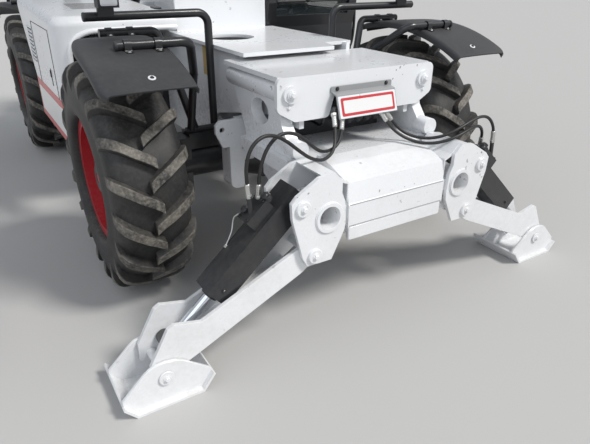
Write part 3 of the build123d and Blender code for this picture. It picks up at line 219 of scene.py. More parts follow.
def dusty(finish, amount, low_z=0.35, high_z=1.1):
    """Share of dust: amount times noise, more on faces that look up and near the ground."""
    cloud = finish.noise(3.0, 6.0, 0.6).step(0.35, 0.75)
    fine = finish.noise(42.0, 3.0, 0.6).step(0.3, 0.8)
    height = 1.0 - finish.axis(2).step(low_z, high_z)
    up = finish.facing_up().step(0.2, 0.95)
    film = (cloud * 0.55 + fine * 0.45) * (up * 0.65 + height * 0.75 + 0.12)
    return film.math("MULTIPLY", amount, clamp=True)


def painted(name, colour, amount, rough, dust=DUST, coat=0.25, grain=0.00035, chips=0.0):
    """Sprayed paint: a dust film over the colour, rougher there, with sparse dark chips and a fine ripple."""
    finish = Finish(name, Coat_Roughness=0.12)
    film = dusty(finish, amount)
    tint = finish.noise(1.3, 2.0).step(0.3, 0.7)
    darker = tuple(c * 0.94 for c in colour)
    paint = finish.mix(tint, colour, darker)
    if chips:
        worn = finish.noise(38.0, 2.0, 0.4).step(0.69, 0.73) * finish.noise(2.6, 3.0).step(0.5, 0.62) * chips
        streak = finish.noise(9.0, 5.0, 0.75).step(0.6, 0.85) * 0.16
        paint = finish.mix(worn, finish.mix(streak, paint, (0.36, 0.35, 0.33)), (0.1, 0.085, 0.07))
    finish.put(Base_Color=finish.mix(film, paint, dust),
               Roughness=film * 0.45 + rough, Coat_Weight=(1.0 - film) * coat)
    finish.bump(finish.noise(260.0, 2.0), 0.15, grain)
    return finish.material


WHITE = painted("paint_white", (0.8, 0.815, 0.835), 0.34, 0.26, coat=0.35, grain=0.0001, chips=0.75)
BLACK = painted("paint_dark", (0.016, 0.017, 0.02), 0.22, 0.36, (0.16, 0.15, 0.13))
GREY = painted("paint_grey", (0.3, 0.31, 0.32), 0.35, 0.42)
RED = painted("rim_red", (0.42, 0.012, 0.022), 0.35, 0.36, (0.2, 0.15, 0.12))
PLASTIC = painted("fender_plastic", (0.034, 0.035, 0.038), 0.24, 0.5, (0.2, 0.19, 0.17), 0.0, 0.0012)
TRIM = painted("trim", (0.028, 0.028, 0.03), 0.18, 0.55, (0.13, 0.12, 0.11), 0.0, 0.0008)

# %% [markdown]
# Bare metal and glass. The rods are hard chrome, the fittings zinc plated, and the panes a lightly
# tinted safety glass that lets the seat show through.

# %% Metal and glass
def metal(name, colour, scale, detail, spread, rough):
    """Bare metal: its roughness is a noise from rough to rough plus spread."""
    finish = Finish(name, Metallic=1.0, Base_Color=(*colour, 1.0))
    finish.put(Roughness=finish.noise(scale, detail) * spread + rough)
    return finish.material


CHROME = metal("chrome", (0.78, 0.8, 0.84), 18.0, 4.0, 0.12, 0.08)
ZINC = metal("zinc", (0.62, 0.62, 0.6), 60.0, 3.0, 0.25, 0.25)
pane = Finish("glass", Alpha=0.32, Base_Color=(0.05, 0.065, 0.07, 1.0))
pane.put(Roughness=pane.noise(7.0, 3.0).step(0.4, 0.9) * 0.1 + 0.03)
GLASS = pane.material
hose = Finish("hose_rubber")
hose.put(Base_Color=hose.mix(hose.noise(90.0, 4.0), (0.009, 0.009, 0.01), (0.026, 0.025, 0.024)),
         Roughness=hose.noise(35.0, 2.0) * 0.2 + 0.38)
hose.bump(hose.noise(700.0, 2.0), 0.3, 0.0006)
HOSE = hose.material
print("paints and metals ready")

# %% [markdown]
# Every CAD node takes one of these finishes. The plates also get a narrow bevel that catches the light along
# their edges, as a ground and painted edge does. Their meshes stay as they are: only modifiers are added.

# %% Finishes of the CAD nodes
BY_FINISH = (
    (RED, "rim"), (CHROME, "ram_rod lift_rod tilt_rod"), (GLASS, "cab_glass door_glass"), (HOSE, "hose"),
    (TRIM, "tyre cab_seat cab_console"), (PLASTIC, "fenders lamps"),
    (GREY, "boom_inner boom_middle valve_cover"),
    (BLACK, """knuckle axle ram_barrel lift_barrel tilt_barrel guard_tubes engine_block cab_frame cab_door
            fuel_tank mirror tow_hitch valve_block tool_coupler pallet_forks exhaust"""),
)
FINISH_OF = {key: finish for finish, keys in BY_FINISH for key in keys.split()}


def finish_of(name):
    """The finish whose key starts the node's name, and white paint for the rest."""
    keys = [key for key in FINISH_OF if name.startswith(key)]
    return FINISH_OF[max(keys, key=len)] if keys else WHITE


EDGE_WIDTH = {
    "chassis_frame": 0.0025, "nose_box": 0.003, "levelling_links": 0.006, "stabiliser_beam": 0.0035,
    "leg": 0.0025, "foot": 0.002, "tail_weight": 0.009, "boom_outer": 0.003, "boom_middle": 0.0025,
    "boom_inner": 0.0025, "cab_frame": 0.005, "cab_door": 0.004, "tool_coupler": 0.003,
    "pallet_forks": 0.004, "fuel_tank": 0.004, "ram_barrel": 0.0022, "tow_hitch": 0.003,
    "valve_cover": 0.0012,
}
SHARP_EDGE = 35.0


def modify(piece, name, kind, **settings):
    modifier = piece.modifiers.new(name, kind)
    for key, value in settings.items():
        setattr(modifier, key, value)


def soft_edges(piece, width):
    """Join the loose triangles, melt flat ones together, and round the sharp edges."""
    modify(piece, "weld", "WELD", merge_threshold=0.00004)
    modify(piece, "flats", "DECIMATE", decimate_type="DISSOLVE", angle_limit=radians(0.6))
    modify(piece, "edge", "BEVEL", width=width, segments=2, limit_method="ANGLE",
           angle_limit=radians(SHARP_EDGE), use_clamp_overlap=True)


for name, piece in NODES.items():
    piece.data.materials.clear()
    piece.data.materials.append(finish_of(name))
    for key, width in EDGE_WIDTH.items():
        if name.startswith(key):
            soft_edges(piece, width)
print("nodes finished:", len(NODES))

# %% [markdown]
# Everything that is added is a surface over a grid of points: a rows by columns table of places worked out by
# a formula, whose neighbours make four-sided faces. A stack of such grids makes many like pieces at once, and
# a closed row or column wraps round. This is quicker and neater than placing single vertices.

# %% Surfaces from grids


def quads(index, wrap_rows=False, wrap_columns=True):
    """Faces between neighbours of an index table shaped (pieces, rows, columns)."""
    rows = np.concatenate([index, index[:, :1]], 1) if wrap_rows else index
    both_ways = np.concatenate([rows, rows[:, :, :1]], 2) if wrap_columns else rows
    a, b = both_ways[:, :-1, :-1], both_ways[:, :-1, 1:]
    c, d = both_ways[:, 1:, 1:], both_ways[:, 1:, :-1]
    return np.stack([a, b, c, d], -1).reshape(-1, 4)


def surface(name, points, body, finish, wrap_rows=False, wrap_columns=True, caps=True, sharp=SHARP_EDGE,
            tread=None):
    """A piece over grids shaped (pieces, rows, columns, 3), its open ends closed, riding on a body."""
    points = np.asarray(points, float)
    if points.ndim == 3:
        points = points[None]
    index = np.arange(points[..., 0].size).reshape(points.shape[:3])
    faces = quads(index, wrap_rows, wrap_columns).tolist()
    if caps:
        faces += index[:, 0, ::-1].tolist() + index[:, -1].tolist()
    mesh = bpy.data.meshes.new(name)
    mesh.from_pydata(points.reshape(-1, 3).tolist(), [], faces)
    mesh.polygons.foreach_set("use_smooth", [True] * len(mesh.polygons))
    mesh.set_sharp_from_angle(angle=radians(sharp))
    if tread is not None:
        mesh.attributes.new("tread", "FLOAT", "POINT").data.foreach_set("value", np.ravel(tread))
    mesh.materials.append(finish)
    piece = bpy.data.objects.new(name, mesh)
    bpy.context.collection.objects.link(piece)
    if body:
        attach(piece, body)
    return piece


def unit(vectors):
    """A vector, or each row of a table of them, at length 1."""
    vectors = np.asarray(vectors, float)
    return vectors / np.linalg.norm(vectors, axis=-1, keepdims=True)


def framed(path, section, side=UP, scale=None):
    """Section points (m, 2) carried along a path (n, 3); their second number points nearest to side."""
    path = np.asarray(path, float)
    along = unit(np.gradient(path, axis=0))
    across = unit(np.cross(side, along))
    up = np.cross(along, across)
    section = np.asarray(section, float)[None] * (1.0 if scale is None else np.asarray(scale)[:, None, None])
    return path[:, None] + section[..., :1] * across[:, None] + section[..., 1:] * up[:, None]


def circle(radius, count=12):
    """Points of a circle, shaped (count, 2)."""
    turn = np.arange(count) * 2 * pi / count
    return radius * np.stack([np.cos(turn), np.sin(turn)], -1)


def run_of(line):
    """Distance of each point from the line's start, measured along it."""
    return np.concatenate([[0], np.cumsum(np.linalg.norm(np.diff(line, axis=0), axis=1))])


def places_on(line, run):
    """Places on a broken line at the given distances from its start."""
    return np.stack([np.interp(run, run_of(line), line[:, k]) for k in range(3)], -1)


def along_line(points, step=0.05):
    """Points every step or so along a broken line."""
    points = np.asarray(points, float)
    length = run_of(points)[-1]
    return places_on(points, np.linspace(0, length, max(2, int(length / step))))


def turned(places, axis, profile, count):
    """Profile points (offset along the axis, radius) turned about the axis at each place."""
    axis = unit(axis)
    u = unit(np.cross(UP if abs(axis[2]) < 0.9 else LEFT, axis))
    v = np.cross(axis, u)
    turn = np.arange(count) * 2 * pi / count
    ring = np.cos(turn)[:, None] * u + np.sin(turn)[:, None] * v
    profile = np.asarray(profile, float)
    one = profile[:, None, :1] * axis + profile[:, None, 1:] * ring[None]
    return np.asarray(places, float)[:, None, None] + one[None]


def lathe(name, places, axis, profile, finish, body="chassis", count=28):
    """One piece: the profile, in millimetres, turned about the axis at each place."""
    return surface(name, turned(places, axis, np.array(profile) / 1000, count), body, finish)


def rod(name, line, radius, finish, side=UP, body="chassis", count=12):
    """Round bar along a line."""
    return surface(name, framed(line, circle(radius, count), side), body, finish)


print("surface helpers ready")

# %% [markdown]
# The tyre is the photograph's largest dark form. Its body and its lugs follow one formula, a rounded square
# in the tyre's section, drawn small for the carcass and larger for the lugs' tops. Each lug runs from the
# middle of the tread to the shoulder along a curve and fades into the sidewall, as a farm tyre's does. The
# tread attribute tells the rubber's finish which faces touch the ground, because those carry pale dust.

# %% Tyres
SECTION_R = 0.45
LUGS = 18


def rounded(share, half_width, height, power):
    """Section point (across, radius) on a superellipse: share 0.7 is its corner and 1 its side."""
    corner = 0.5 ** (1 / power)
    out = np.clip(share / 0.7, 0, 1) * corner
    down = corner * np.clip((1 - share) / 0.3, 0, 1)
    flat = share < 0.7
    across = np.where(flat, out, (1 - down ** power) ** (1 / power))
    level = np.where(flat, (1 - out ** power) ** (1 / power), down)
    return np.stack([half_width * across, SECTION_R + height * level], -1)


def carcass():
    """Grid of the carcass: the rounded square above SECTION_R and a quarter ellipse down to the bead."""
    crown = rounded(np.linspace(0.02, 1, 17), 0.191, 0.131, 3.4)
    turn = np.linspace(0, pi / 2, 9)[1:]
    bulge = 0.148 + 0.043 * np.cos(turn) ** 0.45 + 0.015 * np.sin(2 * turn)
    side = np.stack([bulge, SECTION_R - 0.114 * np.sin(turn)], -1)
    half = np.concatenate([crown, side])
    ribs = 0.0016 * (np.sin((half[:, 1] - 0.36) * 260) > 0.72)
    half[:, 0] += ribs * (half[:, 1] < 0.47)
    whole = np.concatenate([half[::-1], half * (-1, 1)])
    turn = np.arange(150) * 2 * pi / 150
    x = np.broadcast_to(whole[:, 0], (150, len(whole)))
    y = whole[:, 1] * np.sin(turn)[:, None]
    z = whole[:, 1] * np.cos(turn)[:, None]
    return np.stack([x, y, z], -1)


def lugs(sign, phase):
    """Grids of one side's lugs: base and top curves of the section, and a slanted, curved middle line."""
    share = np.linspace(0, 0.97, 19)
    fade = np.clip((share - 0.8) / 0.17, 0, 1)
    base = rounded(share, 0.19, 0.129, 3.4)
    top = rounded(share, 0.2, 0.172, 4.6)
    top += (base - top) * (fade ** 1.5)[:, None]
    lean = -0.088 + 0.15 * (top[:, 0] / 0.2) ** 0.85 + 0.1 * np.clip(share - 0.7, 0, 1)
    wide = 0.036 + 0.004 * share
    level = np.array([-0.12, 0.86, 0.97, 1.0, 1.0, 0.97, 0.86, -0.12])
    spread = np.array([-1.0, -0.76, -0.7, -0.62, 0.62, 0.7, 0.76, 1.0])
    place = base[:, None] + level[None, :, None] * (top - base)[:, None]
    place[..., 0] -= 0.022 * np.clip(1 - share / 0.3, 0, 1)[:, None]
    shift = lean[:, None] + wide[:, None] * spread
    turn = (np.arange(LUGS) + phase) * 2 * pi / LUGS
    swing = shift[None] / TYRE_R - turn[:, None, None]
    x = np.broadcast_to(sign * place[..., 0], swing.shape)
    grid = np.stack([x, place[..., 1] * np.sin(swing), place[..., 1] * np.cos(swing)], -1)
    touch = np.broadcast_to(np.clip((level - 0.9) * 10, 0, 1) * (1 - fade[:, None]), swing.shape)
    return (grid, touch) if sign < 0 else (grid[:, :, ::-1], touch[:, :, ::-1])


rubber = Finish("tyre_rubber")
touched = rubber.attribute("tread") * 0.85 + 0.1 + rubber.facing_up().step(0.3, 1.0) * 0.22
scuff = rubber.noise(9.0, 6.0, 0.65).step(0.3, 0.72) * 0.55 + rubber.noise(70.0, 3.0).step(0.35, 0.75) * 0.45
worn = touched * scuff
rubber.put(Base_Color=rubber.mix(worn, (0.014, 0.014, 0.015), (0.3, 0.275, 0.235)),
           Roughness=worn * 0.3 + 0.52)
rubber.bump(rubber.noise(150.0, 4.0, 0.6), 0.35, 0.0022)
RUBBER = rubber.material

for end, axle in AXLES:
    for side, sign in LEFT_RIGHT:
        body = f"wheel_{end}_{side}"
        middle = at(sign * TRACK_HALF, axle, TYRE_R)
        shell = carcass() * (sign, 1, 1) + middle
        shell = shell if sign < 0 else shell[:, ::-1]
        tyre = surface(f"tyre_{end}_{side}_body", shell, body, RUBBER, wrap_rows=True, wrap_columns=False,
                       caps=False, sharp=50.0, tread=np.zeros(shell.shape[:2]))
        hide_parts(f"tyre_{end}_{side}")
        for half, phase in ((1, 0.0), (-1, 0.5)):
            grid, touch = lugs(half * sign, phase)
            surface(f"tyre_{end}_{side}_lugs_{half}", grid + middle, body, RUBBER, wrap_columns=False,
                    sharp=28.0, tread=touch)
print("tyres with", 2 * LUGS, "lugs each")

# %% [markdown]
# Two hydraulic hoses run to each stabiliser's cylinder: out of the valve block under the nose plate, through
# a slack loop, and down into the port block on the guard. Each is a smooth line through a few listed points,
# with a rubber tube swept along it. The tube itself rides on no body; the sleeve and nut at the valve block
# ride on the chassis, and those at the cylinder on the cylinder. Crimped sleeves and nuts hold its ends.

# %% Hoses
HOSE_R = 0.008
HOSE_ROUTES = {
    "hose_right_a": [
        (-200, -858, 1030), (-213, -897, 950), (-258, -944, 890), (-335, -975, 872), (-412, -989, 898),
        (-482, -1002, 950), (-545, -1012, 1003), (-608, -1024, 1044), (-672, -1033, 1057),
        (-727, -1040, 1030), (-757, -1042, 972), (-762, -1040, 900), (-751.5, -1035, 820)],
    "hose_right_b": [
        (-150, -856, 1010), (-168, -884, 940), (-222, -908, 894), (-300, -925, 891), (-370, -950, 930),
        (-435, -968, 990), (-505, -982, 1032), (-580, -992, 1038), (-640, -1000, 992), (-673, -1005, 925),
        (-687, -1007, 857), (-690, -1006, 793)],
    "hose_left_a": [
        (94, -856, 1010), (128, -882, 945), (186, -930, 890), (252, -990, 864), (322, -1045, 869),
        (392, -1078, 893), (462, -1082, 915), (532, -1070, 928), (596, -1054, 922), (646, -1036, 893),
        (680, -1018, 849), (690, -1006, 793)],
    "hose_left_b": [
        (126, -856, 1010), (163, -876, 950), (216, -915, 900), (278, -972, 880), (344, -1025, 890),
        (408, -1052, 915), (475, -1060, 942), (545, -1056, 962), (615, -1050, 970), (680, -1044, 952),
        (728, -1039, 905), (747, -1036, 862), (751.5, -1035, 820)],
}


def smooth_line(name, route):
    """Points along the route's smooth curve, read from the curve's own mesh."""
    curve = bpy.data.curves.new(name, "CURVE")
    curve.dimensions = "3D"
    curve.resolution_u = 12
    spline = curve.splines.new("NURBS")
    spline.points.add(len(route) - 1)
    spline.points.foreach_set("co", np.c_[route, np.ones(len(route))].ravel())
    spline.order_u = 3
    spline.use_endpoint_u = True
    line = bpy.data.objects.new(name, curve)
    mesh = bpy.data.meshes.new_from_object(line)
    points = np.empty(3 * len(mesh.vertices))
    mesh.vertices.foreach_get("co", points)
    bpy.data.objects.remove(line)
    return points.reshape(-1, 3)


def pipe(name, route, radius, finish, side=UP, body="chassis", count=12):
    """Round bar along the smooth curve of the route."""
    return rod(name, smooth_line(name, route), radius, finish, side, body, count)


def crimp(name, line, body):
    """Sleeve over the hose's first 48 mm: a circle carried along the line, pinched at three rings."""
    path = places_on(line, np.array([0, 1, 5, 9, 12, 15, 19, 22, 25, 29, 32, 35, 39, 44, 47, 48]) / 1000)
    rings = [10.6, 11.6] + 3 * [11.8, 11.8, 10.9] + [11.8, 11.8, 11.4, 10.4, 9.2]
    return surface(name, framed(path, circle(1.0, 20), BACK, np.array(rings) / 1000), body, ZINC)


def nut(name, place, axis, body, radius=0.0145, length=0.018, finish=ZINC):
    """Hexagon nut: six corners turned about the axis, its ends chamfered."""
    profile = [(0, radius * 0.9), (length * 0.1, radius), (length * 0.9, radius), (length, radius * 0.9)]
    return surface(name, turned([place], axis, profile, 6), body, finish)


for name, route in HOSE_ROUTES.items():
    side = name.split("_")[1]
    ram = f"ram_barrel_{side}"
    line = smooth_line(name, [at(*np.array(point) / 1000) for point in route])
    tube = rod(name + "_tube", line, HOSE_R, HOSE, BACK, body=None)
    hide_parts(name)
    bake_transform(tube)
    start, end = line[1] - line[0], line[-2] - line[-1]
    pieces = [crimp(name + "_sleeve_in", line, "chassis"), crimp(name + "_sleeve_out", line[::-1], ram),
              nut(name + "_nut_in", line[0], -start, "chassis"), nut(name + "_nut_out", line[-1], -end, ram)]

# %% [markdown]
# A machine like this is held together by pins and bolts, and they tell its size. A hexagon head is a ring of
# six corners lofted through a few heights, a washer the same with more corners, and a weld is a thin bead
# whose size ripples along its line. Plates are rings lofted through a few heights, so their edges are soft.
# Sections, profiles and plates are drawn in millimetres, and every place is in metres.

# %% Fasteners, welds and plates
BEAD_R = 0.0045
BEAD_STEP = 0.004
ASKEW = (0.31, 0.57, 0.76)


def bolts(name, places, axis, r, finish=ZINC, body="chassis"):
    """Hexagon heads of radius r on round washers, all facing along the axis."""
    washer = [(0, 1.45 * r), (0.22 * r, 1.45 * r), (0.3 * r, 1.35 * r)]
    head = [(0.2 * r, r), (0.85 * r, r), (r, 0.82 * r)]
    surface(name + "_washers", turned(places, axis, washer, 18), body, finish)
    surface(name, turned(places, axis, head, 6), body, finish)


def weld(name, points, body="chassis"):
    """Bead along a line, its radius rippling every 11 mm like the welder's steps."""
    line = along_line(points, BEAD_STEP)
    ripple = 1 + 0.14 * np.sin(np.arange(len(line)) * BEAD_STEP * 2 * pi / 0.011)
    side = unit(np.cross(line[-1] - line[0], ASKEW) + 1e-6)
    surface(name, framed(line, circle(BEAD_R, 8), side, ripple), body, WHITE)


def ring_weld(name, middle, axis, ring_r):
    """Bead round a circle about the axis, rippling like the straight one."""
    turn = np.arange(120) * 2 * pi / 120
    axis = unit(axis)
    u = unit(np.cross(axis, ASKEW))
    v = np.cross(axis, u)
    out = np.cos(turn)[:, None] * u + np.sin(turn)[:, None] * v
    section = circle(BEAD_R, 8)
    grow = 1 + 0.14 * np.sin(turn * 40)
    grid = middle + out[:, None] * (ring_r + section[None, :, :1] * grow[:, None, None]) \
        + axis * section[None, :, 1:] * grow[:, None, None]
    surface(name, grid[:, ::-1], "chassis", WHITE, wrap_rows=True, caps=False)


def round_rect(width, height, radius):
    """Ring of a rectangle whose corners are arcs of five points, counter-clockwise, shaped (20, 2)."""
    turn = (np.arange(4)[:, None] * pi / 2 + np.linspace(0, pi / 2, 5)).ravel()
    corner = np.repeat([(1, 1), (-1, 1), (-1, -1), (1, -1)], 5, 0)
    arcs = radius * np.stack([np.cos(turn), np.sin(turn)], -1)
    return arcs + corner * (width / 2 - radius, height / 2 - radius)


def slab(name, middle, across, up, ring, levels, body, finish):
    """Ring drawn in the across and up directions and lofted through levels (height, inset), in mm."""
    across, up = unit(across), unit(up)
    out = np.cross(across, up)
    ring = np.asarray(ring, float) / 1000
    half = np.abs(ring).max(0)
    rows = []
    for height, inset in np.array(levels) / 1000:
        drawn = ring * (1 - inset / half)
        rows.append(np.asarray(middle) + out * height + drawn[:, :1] * across + drawn[:, 1:] * up)
    return surface(name, np.stack(rows), body, finish)


def thin(height, edge=0.8, inset=None):
    """Levels of a plate whose outer edge, this deep, leans in by the inset, or else by its own depth."""
    return [(0, 0), (height - edge, 0), (height, edge if inset is None else inset)]


FACES = {"front": (LEFT, UP), "back": (RIGHT, UP), "left": (BACK, UP), "right": (FRONT, UP),
         "top": (LEFT, BACK)}


def plate(name, facing, middle, size, levels, finish, body="chassis"):
    """Slab of size (width, height, corner radius) mm that faces a named side or spans (across, up)."""
    across, up = FACES.get(facing, facing)
    return slab(name, middle, across, up, round_rect(*size), levels, body, finish)


print("fastener helpers ready")

# %% [markdown]
# The plates are white with a red frame, and the label on the frame's side is tan. All are left blank, as
# printed matter on the real machine isn't repeated here.

# %% Plates
PLATE_WHITE = painted("plate_white", (0.78, 0.78, 0.77), 0.25, 0.38)
PLATE_RED = painted("plate_red", (0.55, 0.035, 0.045), 0.3, 0.36)
PLATE_TAN = painted("label_tan", (0.5, 0.36, 0.15), 0.35, 0.5, coat=0.0)
COVER_FACE = (LEFT, (0, 0.3134, 0.9496))
COVER_MIDDLE = at(0, -0.861, 1.0685)
COVER_OUT = np.array([0, -0.9496, 0.3134])
plate("cover_face", COVER_FACE, COVER_MIDDLE, (350, 104, 6), thin(3), WHITE)
place = COVER_MIDDLE + 0.0028 * COVER_OUT
plate("cover_plate_frame", COVER_FACE, place, (325, 86, 8), thin(1.6), PLATE_RED)
plate("cover_plate", COVER_FACE, place, (299, 60, 5), thin(2.6), PLATE_WHITE)
HOOD_CORNER = (-1.02, 0.8097, 0.737)


def hood_band(name, height, rear, sweep, thick, finish):
    """Sheet on the hood's side from y = rear to its front corner, bent round the corner by the sweep."""
    x, y, z = HOOD_CORNER
    turn = np.linspace(sweep, 0, 15)
    r = 0.12 + thick / 2
    bend = np.stack([x - r * np.cos(turn), y - r * np.sin(turn), np.full(15, z)], -1)
    flat = np.array([(x - r, y, z) for y in np.linspace(0.84, rear, 20)])
    line = np.concatenate([bend, flat]) + (0, AXLE_Y, 0)
    t, h = thick / 2, height / 2
    section = np.array([(-t, -h), (t, -h), (t, h), (-t, h)])
    return surface(name, framed(line, section), "chassis", finish)


hood_band("hood_plate_frame", 0.285, 1.78, 1.05, 0.0024, PLATE_RED)
hood_band("hood_plate", 0.185, 1.73, 0.62, 0.004, PLATE_WHITE)
plate("side_label", "right", at(-0.365, 0.245, 1.15), (95, 175, 6), thin(1.2), PLATE_TAN)
print("plates placed")

# %% [markdown]
# The front end close up: pins in the nose plate and in the leg brackets, each with its washer and locking
# bolt, and welds where tubes and ears meet plates. They're painted over with the machine's white.

# %% Pins and welds of the front end
NOSE_PINS = [at(s * 0.406, -0.822, 1.146) for s in (1, -1)]
RAM_PINS = [at(s * 0.55, -1.152, 0.746) for s in (1, -1)]
LEG_PINS = [at(s * 0.484, -1.152, 0.501) for s in (1, -1)]
FOOT_Y = -1.02 - 0.095 - 0.017
bolts("nose_pin_bolts", NOSE_PINS, FRONT, 0.013, WHITE)
bolts("nose_keeper_bolts", [p + (0.008 * s, 0.022, -0.06) for p, s in zip(NOSE_PINS, (1, -1))], FRONT, 0.008,
      WHITE)
for key, pins in (("ram", RAM_PINS), ("leg", LEG_PINS)):
    disc = [(-12, 36), (-2, 36), (1, 33)]
    lathe(f"{key}_pin_discs", pins, FRONT, disc, WHITE)
    bolts(f"{key}_pin_bolts", pins + np.array([0, -0.001, 0]), FRONT, 0.012, WHITE)
for side, s in LEFT_RIGHT:
    for key, y, out in (("front", -1.1405, FRONT), ("rear", -0.8995, BACK)):
        ring_weld(f"tube_weld_{side}_{key}", at(s * 0.41, y, 0.671), out, 0.0715)
    weld(f"bracket_weld_{side}", [at(s * 0.3, -1.118, 0.6), at(s * 0.3, -1.118, 0.8)])
    weld(f"nose_lug_weld_{side}", [at(s * 0.343, -0.215, 0.8), at(s * 0.343, -0.215, 1.0)])
    for key, y in ((side, FOOT_Y), (f"rear_{side}", -0.908)):
        weld(f"foot_weld_{key}", [at(s * x, y, 0.013) for x in (1.072, 1.335)], f"foot_{side}")
    pin = at(s * 1.208, -1.145, 0.132)
    lathe(f"foot_washer_{side}", [pin], FRONT, [(-8, 33), (-3, 33), (-1, 31)], WHITE, f"leg_{side}")
    bolts(f"foot_bolt_{side}", [pin], FRONT, 0.011, WHITE, f"leg_{side}")
print("front end pins", len(NOSE_PINS) + len(RAM_PINS) + len(LEG_PINS))

# %% [markdown]
# On top of each leg cylinder's square guard sits the port block. Its fittings are black oxide, its screws
# are socket heads, and one thin steel pipe runs down the guard to the rod end.

# %% Leg cylinders
RAM_PIN = np.array([0.55, 0.746])
RAM_ALONG, RAM_UP = np.array([0.7427, -0.6697]), np.array([0.6697, 0.7427])


def on_ram(s, along, y, up):
    """Point on a leg cylinder: along its axis from the pin, y from its middle and up from the axis."""
    x, z = RAM_PIN + along * RAM_ALONG + up * RAM_UP
    return at(s * x, -1.02 + y, z)


def ram_way(s, along, y, up):
    """Direction on a leg cylinder."""
    x, z = along * RAM_ALONG + up * RAM_UP
    return np.array([s * x, y, z])


for side, s in LEFT_RIGHT:
    body = f"ram_barrel_{side}"
    upward = ram_way(s, 0, 0, 1)
    screws = [on_ram(s, a, y, 0.12) for a in (0.083, 0.187) for y in (-0.033, 0.033)]
    cap = [(0, 6.5), (6, 6.5), (6.8, 5.8), (6.8, 3.6), (3, 3.4)]
    lathe(f"port_screws_{side}", screws, upward, cap, BLACK, body, count=16)
    route = [(0.16, 0.045, 0.1), (0.2, 0.075, 0.115), (0.23, 0.08, 0.095), (0.27, 0.066, 0.07),
             (0.33, 0.055, 0.06)]
    pipe(f"ram_pipe_{side}", [on_ram(s, *point) for point in route], 0.0036, ZINC, BACK, body, count=10)
    nut(f"ram_pipe_nut_{side}", on_ram(s, 0.325, 0.055, 0.0605), ram_way(s, 1, -0.1, -0.1), body, 0.0068,
        0.014)
    gland = [(0, 50.5), (12, 50.5), (15, 47), (22, 41), (30, 38), (32, 30), (34, 25.5)]
    lathe(f"ram_gland_{side}", [on_ram(s, 0.512, 0, 0)], ram_way(s, 1, 0, 0), gland, BLACK, body, count=32)
    grip = [on_ram(s, a, -0.063, 0.0) for a in (0.02, 0.48)]
    bolts(f"guard_bolts_{side}", grip, FRONT, 0.008, BLACK, body)
print("leg cylinders dressed")

# %% [markdown]
# The wheels' middles: a black planetary hub in front of the red disc, with its cover screws, ten wheel nuts
# and the valve. The hub's housing is turned from one profile with chamfered steps.

# %% Hubs
HUB = [(74.2, 130.5), (80, 130.5), (83, 119.5), (108, 119.5), (114, 122.5), (124, 122.5), (127.5, 119),
       (128.5, 90), (134.5, 72.5), (142, 70.5), (142.5, 30), (139.5, 26), (139.5, 10)]
HUB_RINGS = (("nuts", 10, 0.1505, 0.0742, 0.0125, ZINC), ("screws", 8, 0.103, 0.128, 0.0065, BLACK))
STEM = [(-20, 6), (28, 5.5), (29, 7.5), (44, 7.5), (46, 5.5)]
for end, axle in AXLES:
    for side, s in LEFT_RIGHT:
        body = f"wheel_{end}_{side}"
        hub = at(s * TRACK_HALF, axle, TYRE_R)
        out = np.array([s, 0.0, 0.0])
        lathe(f"hub_{end}_{side}", [hub], out, HUB, BLACK, body, count=48)
        for key, count, r, x, size, finish in HUB_RINGS:
            ring = np.insert(circle(r, count), 0, s * x, 1)
            bolts(f"{key}_{end}_{side}", hub + ring, out, size, finish, body)
        stem = hub + (s * 0.075, 0.19, 0.17)
        lathe(f"valve_{end}_{side}", [stem], (s, 0.25, 0.22), STEM, TRIM, body, count=12)
print("hubs done")

# %% [markdown]
# The four fenders are moulded plastic: thin, crowned, with rolled lips and strongly rounded rear corners. One
# closed section is carried along the arc and narrowed towards the rear, which rounds the corners without any
# cutting. The CAD arc stays in the physics model, and this piece stands for it.

# %% Fenders
FENDER_TURN = np.array([-0.107, 0.075])
FENDER_R = 1.27


def on_fender(x, y, rise=0.0):
    """Point on the front fender's arc at (x, y), lifted along its normal, and that normal."""
    step = (y - FENDER_TURN[0]) / FENDER_R
    normal = np.array([0.0, step, sqrt(1 - step ** 2)])
    return np.array([x, *FENDER_TURN]) + (FENDER_R + rise) * normal, normal


def fender_section(half):
    """Closed loop (across, rise): crowned top, quarter-round shoulders, lips, and back inside by the wall."""
    bend = np.linspace(0, pi / 2, 6)
    arc = np.stack([np.sin(bend), np.cos(bend)], -1)
    turn = np.array([half - 0.022, -0.022])
    round_out, round_in = turn + 0.022 * arc, (turn + 0.015 * arc)[::-1]
    top = np.stack([np.linspace(-1, 1, 9)[1:-1] * (half - 0.022), np.zeros(7)], -1)
    lip = np.array([(half, -0.036), (half - 0.0035, -0.039), (half - 0.007, -0.036)])
    mirrored = [part[::-1] * (-1, 1) for part in (round_out, round_in, lip)]
    return np.concatenate([mirrored[0], top, round_out, lip, round_in, top[::-1] - (0, 0.007), *mirrored[1:]])


